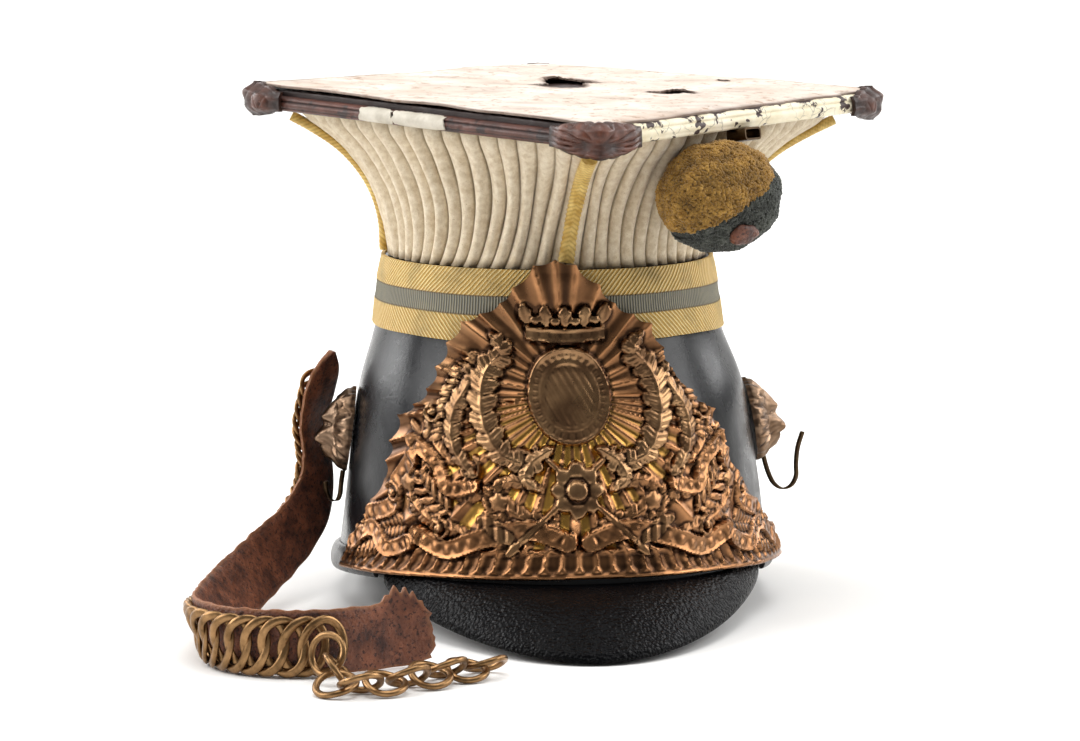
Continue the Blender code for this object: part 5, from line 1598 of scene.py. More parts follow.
    def rays(self, s: Array, h: Array) -> Array:
        """Return the rays' height: hollow gores between sharp ridges that run in from the outline's tips."""
        tips = np.array(self.cusps_left[4:] + self.cusps_right[:-6]) - self.centre
        marks = np.arctan2(tips[:, 0], tips[:, 1])
        angle = np.arctan2(s - self.centre[0], h - self.centre[1])
        below = np.arange(marks[-1] + math.radians(self.lower_rays), marks[0] + math.tau - 0.1,
                          math.radians(self.lower_rays))
        marks = np.concatenate([marks, below, [marks[0] + math.tau]])
        angle = np.where(angle < marks[0], angle + math.tau, angle)
        number = np.clip(np.searchsorted(marks, angle) - 1, 0, len(marks) - 2)
        share = (angle - marks[number]) / (marks[number + 1] - marks[number])
        away = np.hypot(s - self.centre[0], h - self.centre[1])
        depth = 1.0 + 2.1 * ramp(away, 12.0, 46.0)
        return depth * np.abs(share * 2 - 1) ** 1.9

    def border(self, relief: Relief) -> None:
        """Add the round-ended hollow flutes and the plain rim along the foot."""
        up = relief.h - self.foot_level(relief.s)
        share = ((relief.s * (1 + up / 90.0) / 6.1) % 1.0) * 2 - 1
        low = np.hypot(share, np.clip(4.6 - up, 0, 3) / 3.0)
        hollow = np.sqrt(np.clip(1 - (low / 0.9) ** 2, 0, 1)) * ramp(10.5 - up, 0.0, 3.0)
        relief.over(ramp(10.5 - up, 0.0, 1.2), 2.1 - 1.9 * hollow)
        relief.over(ramp(1.6 - up, 0.0, 0.5), 1.5 + 0.9 * np.sqrt(np.clip(1 - ((up - 0.8) / 0.8) ** 2, 0, 1)))

    def stamped(self, s: Array, h: Array) -> tuple[Array, Array, Array]:
        """Return the stamped height, how unsoiled and unshaded each place is, and its tone from a painted gold
        highlight to olive tarnish.

        Args:
            s: places along the surface.
            h: heights.
        """
        relief = Relief(s, h)
        relief.height = self.rays(s, h)
        # Painted highlight: a gold glint laid into the low places left of the middle.
        glint = ramp(1.1 - relief.height, 0.0, 0.8) * np.exp(-((s + 14) / 44.0) ** 2 - ((h - 58.0) / 34.0) ** 2)
        relief.age = 0.50 - 0.44 * glint
        for tone, layer in ((0.5, self.border), (0.62, self.leaves), (0.58, self.ribbons), (0.72, self.lances),
                            (0.70, self.scrolls), (0.92, self.drapes), (0.95, self.shield), (0.76, self.coronet)):
            relief.tone = tone
            layer(relief)
        height = relief.height
        # Light on the raised edges, dark in the hollows: tarnish in the hollows, and painted shade along the groove
        # round every shape.
        clean_and_unshaded = 0.50 + 0.85 * (height - blurred(height, 7)) + 0.05 * height - 1.1 * relief.cut
        matt = ramp(s, 20.0, 60.0)
        olive = 0.16 * ramp(-s, -20.0, 30.0) * ramp(h, 56.0, 74.0)
        return height, clean_and_unshaded, relief.age + olive - 0.12 * matt * (relief.age - 0.5)

    def leaves(self, relief: Relief) -> None:
        """Add lobed leaves and sprays on each side, rising from the middle below."""
        for sign in (-1, 1):
            for points, width, lobes in self.lobed:
                relief.foliage([(sign * x, y) for x, y in points], width, lobes, 1.0)
            for points, lean, length, wide in self.sprays:
                stem = smooth_way([(sign * x, y) for x, y in points], 10)
                relief.stroke(stem, 1.5, 1.3, 0.8)
                for place in range(1, len(stem) - 1, 2):
                    self.leaf_pair(relief, stem, place, lean, length, wide, 1.5)

    def leaf_pair(self, relief: Relief, stem: Array, place: int, spread: float, length: float, width: float,
                  base: float) -> None:
        """Add two leaves that spring from a stem at a place."""
        ahead = stem[min(place + 1, len(stem) - 1)] - stem[place - 1]
        turn = math.atan2(ahead[1], ahead[0])
        for lean in (-spread, spread):
            reach = turn + lean
            x = stem[place][0] + 0.43 * length * math.cos(reach)
            y = stem[place][1] + 0.43 * length * math.sin(reach)
            relief.leaf(x, y, length, width, reach, base)

    def scrolls(self, relief: Relief) -> None:
        """Add scrolled brackets beside the shield and small ones below it."""
        for sign in (-1, 1):
            for x, y, size, start, turns, bar in self.spirals:
                share = np.linspace(0, 1, 26)
                angle = math.radians(start) + share * turns * math.tau
                reach = size * (1 - 0.86 * share)
                way = np.stack([sign * (x + reach * np.cos(angle)), y + reach * np.sin(angle)], -1)
                relief.stroke(way, bar * (0.75 + 0 * share[0]), 2.3, 1.3)
                knob = np.clip(1 - relief.oval(sign * x, y, bar * 0.55, bar * 0.55) ** 2, 0, 1)
                relief.over(ramp(knob, 0.0, 0.2), 2.8 + 1.3 * np.sqrt(knob))
            for x, y in ((27.0, 47.5), (64.5, 51.0)):
                away = relief.oval(sign * x, y, 3.4, 3.4)
                petals = np.arctan2(relief.s - sign * x, relief.h - y)
                inside = np.clip(1 - away / (0.78 + 0.22 * np.abs(np.cos(petals * 2.5))), 0, 1)
                relief.over(ramp(inside, 0.0, 0.1), 1.8 + 1.3 * np.sqrt(inside))

    def drapes(self, relief: Relief) -> None:
        """Add the great curled leaves that hold the shield, in the highest relief."""
        for sign in (-1, 1):
            for points, width, lobes, base in self.great:
                relief.foliage([(sign * x, y) for x, y in points], width, lobes, base)

    def lances(self, relief: Relief) -> None:
        """Add two crossed lances with small pennons, behind the shield."""
        for sign in (-1, 1):
            way = np.array([(-sign * 20.0, 34.0), (sign * 13.5, 66.0)])
            relief.stroke(way, 2.4, 1.9, 1.1)
            relief.leaf(-sign * 22.4, 31.6, 8.5, 3.6, math.atan2(32.0, sign * 33.5), 2.0)
            for step in range(2):
                away = relief.oval(sign * (30.0 - 4 * step), 39.5 - 3.4 * step, 6.4, 2.6, sign * 0.35)
                relief.over(ramp(1 - away, 0.0, 0.2), 1.9 + 0.5 * np.cos(relief.s * 1.6))

    def ribbons(self, relief: Relief) -> None:
        """Add blank ribbons: two over the foot and three on each side."""
        relief.ribbon([(-60, 34.0), (-48, 30.0), (-34, 34.5), (-17, 38.5), (-4, 34.5)], 7.0, 1.7)
        relief.ribbon([(60, 34.0), (48, 30.0), (34, 34.5), (17, 38.5), (4, 34.5)], 7.0, 1.7)
        for sign in (-1, 1):
            relief.ribbon([(sign * 61, 60), (sign * 70, 51), (sign * 74, 42), (sign * 87, 38)], 6.4, 1.6)
            relief.ribbon([(sign * 64, 31), (sign * 75, 27.5), (sign * 86, 33.0), (sign * 98, 26.5)], 6.0, 1.8)
            relief.ribbon([(sign * 36, 53), (sign * 46, 51), (sign * 51, 60), (sign * 61, 66)], 5.6, 2.0)

    def shield(self, relief: Relief) -> None:
        """Add the plain oval shield with a beaded border, and a petalled knot below it."""
        x, y = self.centre
        away = relief.oval(x, y, 14.4, 17.2)
        relief.over(ramp(1 - away, -0.02, 0.06), 2.8 + 0 * away)
        rim = np.exp(-((away - 0.93) / 0.05) ** 2)
        beads = 0.5 + 0.5 * np.cos(np.arctan2(relief.s - x, relief.h - y) * 34)
        inner = np.exp(-((away - 0.66) / 0.05) ** 2)
        dome = 1.5 * np.clip(1 - (away / 0.64) ** 2, 0, 1)
        lines = 0.22 * np.cos((relief.s + 0.5 * relief.h) * math.tau / 2.6) * (away < 0.60)
        relief.height = relief.height + 1.0 * rim + 0.7 * inner + dome + lines
        relief.height = relief.height + 0.7 * beads * np.exp(-((away - 0.80) / 0.06) ** 2)
        turn = np.arctan2(relief.s, relief.h - 52)
        petals = relief.oval(0, 52, 9.2, 10.2)
        inside = np.clip(1 - petals / (0.80 + 0.20 * np.abs(np.cos(turn * 4))), 0, 1)
        hollow = 0.9 * np.exp(-((petals - 0.45) / 0.09) ** 2)
        shape = 2.2 + 2.3 * np.sqrt(inside) * (0.70 + 0.30 * np.abs(np.cos(turn * 4))) - hollow
        relief.over(ramp(inside, 0.0, 0.08), shape)
        centre = np.clip(1 - relief.oval(0, 52, 3.6, 3.6) ** 2, 0, 1)
        relief.over(ramp(centre, 0.0, 0.15), 4.2 + 1.6 * np.sqrt(centre))

    def coronet(self, relief: Relief) -> None:
        """Add the plain coronet: a band, five leaves and balls between them."""
        s, h = relief.s + 0.8, relief.h
        curve = 104.6 + s * s / 150.0
        band = ramp(2.8 - np.abs(h - curve), 0.0, 0.5) * ramp(13.4 - np.abs(s), 0.0, 0.8)
        relief.over(band, 3.0 + 0.7 * np.exp(-((np.abs(h - curve) - 2.0) / 0.5) ** 2)
                    + 0.5 * (0.5 + 0.5 * np.cos(s * math.tau / 3.4)))
        for place in range(-2, 3):
            foot = 107.4 + place * place * 6.4 ** 2 / 150.0
            relief.leaf(place * 6.4 - 0.8, foot + 3.6, 8.4, 5.0, math.pi / 2 - place * 0.12, 2.6)
        for place in range(-2, 2):
            x = (place + 0.5) * 6.4
            ball = np.clip(1 - relief.oval(x - 0.8, 109.4 + x * x / 150.0, 1.7, 1.7) ** 2, 0, 1)
            relief.over(ramp(ball, 0.0, 0.2), 3.0 + 1.3 * np.sqrt(ball))

    def build(self) -> None:
        """Make the plate from the cells of a fine net that lie in its outline."""
        edge = self.outline()
        across = np.arange(edge[:, 0].min() - 1, edge[:, 0].max() + 1, self.cell)
        up = np.arange(edge[:, 1].min() - 1, edge[:, 1].max() + 1, self.cell)
        s, h = np.meshgrid(across, up)
        middle_s = (s[:-1, :-1] + s[1:, 1:]) / 2
        middle_h = (h[:-1, :-1] + h[1:, 1:]) / 2
        keep = inside_outline(edge, middle_s, middle_h)
        s, h = snap_border(edge, keep, s, h)
        height, clean_and_unshaded, age = self.stamped(s, h)
        angle = SKULL.angle_at(s, h)
        stand = self.stand_off + self.clearance(h) + self.bent_out(angle, h)
        bent = 0.35 * value_noise(SKULL.point(angle, h), 30.0, 6.0)
        back = SKULL.point(angle, h, stand + 0.15)
        front = SKULL.point(angle, h, stand + self.sheet + 0.2 + height * 0.66 + np.abs(bent))
        made, used = cut_sheet("plate_stamped", front, back, keep, 55.0)
        coarse = value_noise(front, 18.0, 13.0)
        # The painted shade of the grooves goes into the darkening attribute, and the painted gold highlight into the
        # tone.
        clean_and_unshaded = np.clip(clean_and_unshaded + 0.12 * coarse, 0, 1)[used]
        set_wear_and_shade(made, np.concatenate([clean_and_unshaded, np.full(clean_and_unshaded.shape, 0.3)]))
        age = np.clip(age + 0.12 * coarse, 0, 1)[used]
        set_layer(made, "age", np.concatenate([age, age]))
        finish_piece(made, Finishes.PLATE.make(), ["front_plate"])


def blurred(values: Array, size: int) -> Array:
    """Return a grid smoothed by a box of an odd size."""
    half = size // 2
    for axis in (0, 1):
        padded = np.concatenate([np.repeat(np.take(values, [0], axis), half + 1, axis), values,
                                 np.repeat(np.take(values, [-1], axis), half, axis)], axis)
        total = np.cumsum(padded, axis)
        count = values.shape[axis]
        values = (np.take(total, range(size, size + count), axis) - np.take(total, range(count), axis)) / size
    return values


@dataclass
class Bosses:
    """The two lion masks at the sides, each a thick stamping with a curled mane."""

    height: float = 31.0
    width: float = 26.0
    depth: float = 14.5
    stand_off: float = 0.34
    spokes: int = 132
    circles: int = 62
    profile: tuple = (
        # (up, height): the middle of the face from the chin over the muzzle and brow to the mane
        (-1.0, 0.06), (-0.84, 0.34), (-0.72, 0.62), (-0.58, 0.74), (-0.50, 0.76), (-0.44, 0.71), (-0.36, 0.84),
        (-0.28, 0.94), (-0.18, 0.89), (-0.04, 0.77), (0.06, 0.73), (0.16, 0.77), (0.28, 0.78), (0.42, 0.70),
        (0.60, 0.57), (0.78, 0.39), (0.92, 0.20), (1.0, 0.06),
    )
    bumps: tuple = (
        # (across on both sides, up, width, height): brows, eyes, cheeks, nostrils, jowls and ears
        (0.17, 0.22, 0.10, 0.07),
        (0.20, 0.08, 0.07, -0.13),
        (0.20, 0.07, 0.035, 0.09),
        (0.30, -0.12, 0.12, 0.10),
        (0.09, -0.26, 0.04, -0.08),
        (0.17, -0.38, 0.10, 0.12),
        (0.55, 0.66, 0.17, 0.16),
        (0.58, 0.60, 0.07, -0.12),
    )

    def relief(self, across: Array, up: Array) -> Array:
        """Return the mask's height over its back at a place in its outline."""
        angle = np.arctan2(across, up)
        away = np.hypot(across, up)
        levels, rises = np.array(self.profile).T
        face = np.interp(up, levels, rises) * np.exp(-np.abs(across / 0.44) ** 2.6)
        curls = np.cos(angle * 17 + 3.5 * away) * 0.6 + np.cos(angle * 41 - 7 * away) * 0.4
        mane = 0.08 + 0.40 * np.sqrt(np.clip(1 - away ** 2, 0, 1)) + 0.06 * curls * ramp(away, 0.35, 0.7)
        total = np.maximum(face, mane) + 0.05 * np.exp(-np.abs(face - mane) / 0.06)
        for x, z, width, height in self.bumps:
            total = total + height * np.exp(-((np.abs(across) - x) ** 2 + (up - z) ** 2) / width ** 2)
        return total

    def build(self) -> None:
        """Make both masks."""
        material = Finishes.BOSS.make()
        for name, sign, slope, level in (("left", -1, 7.4, 61.2), ("right", 1, 9.9, 63.0)):
            angle = sign * math.radians(91)
            normal = SKULL.normal(angle, level)
            across_axis = np.array([-normal[1], normal[0], 0.0])
            tilt = math.radians(slope)
            rise = np.array([0.0, 0.0, 1.0])
            outward = unit(normal * math.cos(tilt) + rise * math.sin(tilt))
            up_axis = unit(rise * math.cos(tilt) - normal * math.sin(tilt))
            base = SKULL.point(np.array(angle), np.array(level), self.stand_off)
            away = np.linspace(0.02, 1, self.circles)[:, None]
            turn = np.arange(self.spokes)[None, :] * math.tau / self.spokes
            edge = 1 + 0.035 * np.cos(turn * 11) + 0.015 * np.cos(turn * 23)
            across, up = away * edge * np.sin(turn), away * edge * np.cos(turn)
            lifted = self.relief(across, up)
            lifted = lifted * np.where(away > 0.985, 0.3, 1.0) + np.where(away > 0.985, 0.04, 0.0)
            front = (base + across[..., None] * across_axis * self.width / 2 + up[..., None] * up_axis * self.height / 2
                     + lifted[..., None] * outward * self.depth)
            flat = (base + across[-1:][..., None] * across_axis * self.width / 2
                    + up[-1:][..., None] * up_axis * self.height / 2)
            points = np.concatenate([front, flat])
            faces = grid_faces(self.circles + 1, self.spokes, True)
            faces.append(tuple(range(self.spokes)))
            faces.append(tuple(self.circles * self.spokes + step for step in range(self.spokes)))
            made = make_mesh("lion_mask_" + name, points, faces, smooth=70.0)
            soft = blurred(lifted, 7)
            clean_and_unshaded = 0.55 + 9.0 * (lifted - soft)
            set_wear_and_shade(made, np.concatenate([clean_and_unshaded.reshape(-1), np.full(self.spokes, 0.2)]))
            finish_piece(made, material, ["lion_boss_" + name])


@dataclass
class Wirework:
    """The two wire hooks under the bosses and the flat tube that takes a plume."""

    radius: float = 0.95
    right: tuple = ((77.8, 1.0, 49.0), (79.4, 0.9, 43.4), (81.6, 0.6, 38.8), (84.8, 0.3, 36.6), (88.2, 0.3, 37.6),
                    (90.2, 0.4, 41.2), (90.2, 0.5, 46.2), (90.8, 0.6, 52.2), (92.6, 0.6, 58.2))
    left: tuple = ((-80.9, 1.5, 45.6), (-81.6, 1.0, 41.0), (-82.2, -1.5, 37.0), (-83.6, -4.0, 35.0),
                   (-86.0, -6.0, 36.0), (-87.4, -7.0, 39.5), (-87.6, -7.4, 43.0))
    socket_angle: float = 45.0
    socket_rise: float = 0.16
    socket_outer: tuple = (9.6, 4.6)
    socket_wall: float = 0.7
    socket_length: float = 8.2
    socket_start: float = 78.0
    socket_level: float = 173.0

    def build(self) -> None:
        """Make the hooks and the socket."""
        material = Finishes.WIRE.make()
        for name, way in (("left", self.left), ("right", self.right)):
            made = self.bend_wire(smooth_way(way, 8))
            made.name = "wire_hook_" + name
            finish_piece(made, material, ["hook_" + name])
        self.make_socket(material)

    def bend_wire(self, line: Array) -> bpy.types.Object:
        """Draw a round wire along a way: a filled ring, extruded and turned step by step.

        Args:
            line: points of the wire's middle line in cap millimetres.

        Returns:
            The wire, its far end drawn in a little.
        """
        line = (line + OFFSET) * MM
        ahead = unit(np.diff(line, axis=0))
        facing = Vector((0, 0, 1)).rotation_difference(Vector(ahead[0]))
        bpy.ops.object.select_all(action="DESELECT")
        bpy.ops.mesh.primitive_circle_add(vertices=14, radius=self.radius * MM, fill_type="NGON",
                                          location=line[0], rotation=facing.to_euler())
        made = bpy.context.object
        bpy.ops.object.transform_apply(location=True, rotation=True, scale=True)
        bpy.ops.object.mode_set(mode="EDIT")
        bpy.ops.mesh.select_all(action="SELECT")
        for place in range(1, len(line)):
            move = line[place] - line[place - 1]
            bpy.ops.mesh.extrude_region_move(TRANSFORM_OT_translate={"value": tuple(move)})
            if place < len(ahead):
                before, after = Vector(ahead[place - 1]), Vector(ahead[place])
                axis = before.cross(after)
                if axis.length > 1e-6:
                    turn_faces(axis.normalized(), before.angle(after), Vector(line[place]))
        bpy.ops.transform.resize(value=(0.8, 0.8, 0.8), center_override=tuple(line[-1]))
        bpy.ops.mesh.select_all(action="SELECT")
        bpy.ops.mesh.normals_make_consistent(inside=False)
        bpy.ops.object.mode_set(mode="OBJECT")
        bpy.ops.object.shade_smooth_by_angle(angle=math.radians(60))
        return made

    def make_socket(self, material: bpy.types.Material) -> None:
        """Make the flat open tube: a block with rounded long edges, its mouth inset and sunk through."""
        angle = math.radians(self.socket_angle)
        flat = Vector((math.sin(angle), -math.cos(angle), 0.0))
        outward = (flat + Vector((0, 0, self.socket_rise))).normalized()
        across = Vector((math.cos(angle), math.sin(angle), 0.0))
        frame = Matrix((across, outward, across.cross(outward))).transposed()
        start = flat * self.socket_start + Vector((BOARD.lean, 0, self.socket_level))
        middle = (start + outward * (self.socket_length / 2) + Vector(OFFSET)) * MM
        bpy.ops.object.select_all(action="DESELECT")
        bpy.ops.mesh.primitive_cube_add(size=MM)
        made = bpy.context.object
        made.name = "plume_tube"
        bpy.ops.object.mode_set(mode="EDIT")
        bpy.ops.transform.resize(value=(self.socket_outer[0], self.socket_length, self.socket_outer[1]))
        solid = bmesh.from_edit_mesh(made.data)
        for edge in solid.edges:
            edge.select_set(abs((edge.verts[0].co - edge.verts[1].co).normalized().y) > 0.9)
        bmesh.update_edit_mesh(made.data)
        bpy.ops.mesh.bevel(offset=1.5 * MM, segments=4, affect="EDGES")
        bpy.ops.mesh.select_all(action="DESELECT")
        solid = bmesh.from_edit_mesh(made.data)
        solid.select_mode = {"FACE"}
        for face in solid.faces:
            face.select_set(abs(face.normal.y) > 0.9)
        bmesh.update_edit_mesh(made.data)
        bpy.ops.mesh.inset(thickness=self.socket_wall * MM, use_even_offset=True)
        bpy.ops.mesh.bridge_edge_loops()
        bpy.ops.mesh.select_all(action="SELECT")
        bpy.ops.mesh.normals_make_consistent(inside=False)
        bpy.ops.object.mode_set(mode="OBJECT")
        made.matrix_world = Matrix.Translation(middle) @ frame.to_4x4()
        bpy.ops.object.transform_apply(location=True, rotation=True, scale=True)
        bpy.ops.object.shade_smooth_by_angle(angle=math.radians(50))
        finish_piece(made, material, ["plume_socket"])


@dataclass
class Rosette:
    """The worsted rosette: two halves of curled tufts round a firm core, and a leather button under it."""

    angle: float = 37.0
    distance: float = 90.0
    level: float = 152.8
    shift: float = -4.3
    half_sizes: tuple = (26.3, 17.6, 20.1)
    split: tuple = (0.60, 0.05, -0.80)
    tufts: int = 13000
    tuft_radius: float = 0.52
    seed: int = 5

    def frame(self) -> tuple[Array, Array, Array, Array]:
        """Return the rosette's middle and its directions across, inward and up."""
        turn = math.radians(self.angle)
        outward = np.array([math.sin(turn), -math.cos(turn), 0.0])
        across = np.array([math.cos(turn), math.sin(turn), 0.0])
        centre = outward * self.distance + np.array([self.shift, 0.0, self.level])
        return centre, across, -outward, np.array([0.0, 0.0, 1.0])

    def ball(self, subdivisions: int) -> tuple[Array, list]:
        """Return a unit ball's points and faces."""
        bpy.ops.object.select_all(action="DESELECT")
        bpy.ops.mesh.primitive_ico_sphere_add(subdivisions=subdivisions, radius=1.0)
        made = bpy.context.object
        shape = (made_points(made) + OFFSET) * MM
        faces = [tuple(face.vertices) for face in made.data.polygons]
        bpy.data.objects.remove(made, do_unlink=True)
        return shape, faces

    def build(self) -> None:
        """Make both halves and the button."""
        centre, across, inward, up = self.frame()
        axes = np.stack([across, inward, up])
        shape, faces = self.ball(1)
        round_shape, round_faces = self.ball(4)
        draw = np.random.default_rng(self.seed)
        number = np.arange(self.tufts)
        height = 1 - 2 * (number + 0.5) / self.tufts
        turn = number * math.pi * (3 - math.sqrt(5))
        ring = np.sqrt(1 - height ** 2)
        sphere = np.stack([ring * np.cos(turn), ring * np.sin(turn), height], 1)
        sphere = unit(sphere + draw.normal(0, 0.035, sphere.shape))
        split = unit(np.array(self.split))
        clump = value_noise(sphere * 20, 5.5, 3.0)
        for name, sign, finish, slot in (("gold", -1, Finishes.GOLD_WOOL, "gold_wool"),
                                         ("grey", 1, Finishes.GREY_WOOL, "grey_wool")):
            parts = []
            wear_and_shade = []
            wander = 0.05 * value_noise(sphere * 20, 6.0, 8.0)
            mine = np.nonzero(sign * (sphere @ split + wander) > 0)[0]
            for index in mine:
                out = sphere[index]
                mound = 0.045 * clump[index] + draw.uniform(-0.012, 0.012)
                place = out * np.array(self.half_sizes) * (0.955 + mound)
                lean = unit(np.cross(out, draw.normal(0, 1, 3)))
                curl = unit(np.cross(out, lean))
                size = self.tuft_radius * draw.uniform(0.8, 1.3)
                stretch = draw.uniform(1.2, 1.9)
                bend = shape[:, :1] ** 2 * 0.35
                tuft = (lean * shape[:, :1] * size * stretch + curl * shape[:, 1:2] * size
                        + out * (shape[:, 2:] * size * 1.15 - bend * size))
                parts.append(((place + tuft) @ axes + centre, faces))
                wear_and_shade.append(np.full(len(shape), 0.45 + 0.5 * clump[index] + draw.uniform(-0.15, 0.15)))
            mound = value_noise(round_shape * 20, 5.5, 3.0)
            core = round_shape * np.array(self.half_sizes) * (0.945 + 0.045 * mound)[:, None]
            core = core - np.minimum(0.0, (core @ split) * sign - 0.1)[:, None] * split * sign
            parts.append((core @ axes + centre, round_faces))
            # Painted shade: the core is kept darker than the tufts, as shade in the crevices between them.
            wear_and_shade.append(np.full(len(core), 0.35))
            made = join_parts("wool_" + name, parts, 80.0)
            set_wear_and_shade(made, np.concatenate(wear_and_shade))
            finish_piece(made, finish.make(), ["rosette_" + name])
        self.make_button(centre, across, -inward)

    def make_button(self, centre: Array, across: Array, outward: Array) -> None:
        """Make the domed leather button, cracked and a little folded."""
        facing = unit(np.array([-0.05, -0.82, -0.57]))
        sizes = np.array(self.half_sizes)
        touch = facing * sizes * sizes / np.linalg.norm(facing * sizes)
        axes = np.stack([across, -outward, np.array([0.0, 0.0, 1.0])])
        down = facing @ axes
        seat = centre + touch @ axes - down * 0.9
        beside = unit(across - down * (across @ down))
        ahead = np.cross(down, beside)
        turn = np.arange(48)[None, :] * math.tau / 48
        profile = np.array([(5.2, 0.0), (6.0, 0.5), (6.2, 1.2), (5.7, 2.1), (4.6, 2.8), (3.0, 3.2), (1.2, 3.3)])
        reach = profile[:, :1] * (1 + 0.05 * np.sin(turn * 3 + 1) + 0.03 * np.sin(turn * 7))
        drop = profile[:, 1:] + 0.25 * np.sin(turn * 5) * (profile[:, :1] / 6)
        rings = (seat + down * drop[..., None] + beside * (reach * np.cos(turn))[..., None]
                 + ahead * (reach * 0.68 * np.sin(turn))[..., None])
        faces = grid_faces(len(profile), 48, True)
        faces += [tuple(range(48)), tuple((len(profile) - 1) * 48 + step for step in range(48))]
        made = make_mesh("button_leather", rings, faces, smooth=60.0)
        set_wear_and_shade(made, 1.0 + 0 * made_levels(made))
        finish_piece(made, Finishes.STRAP.make(), ["rosette_button"])


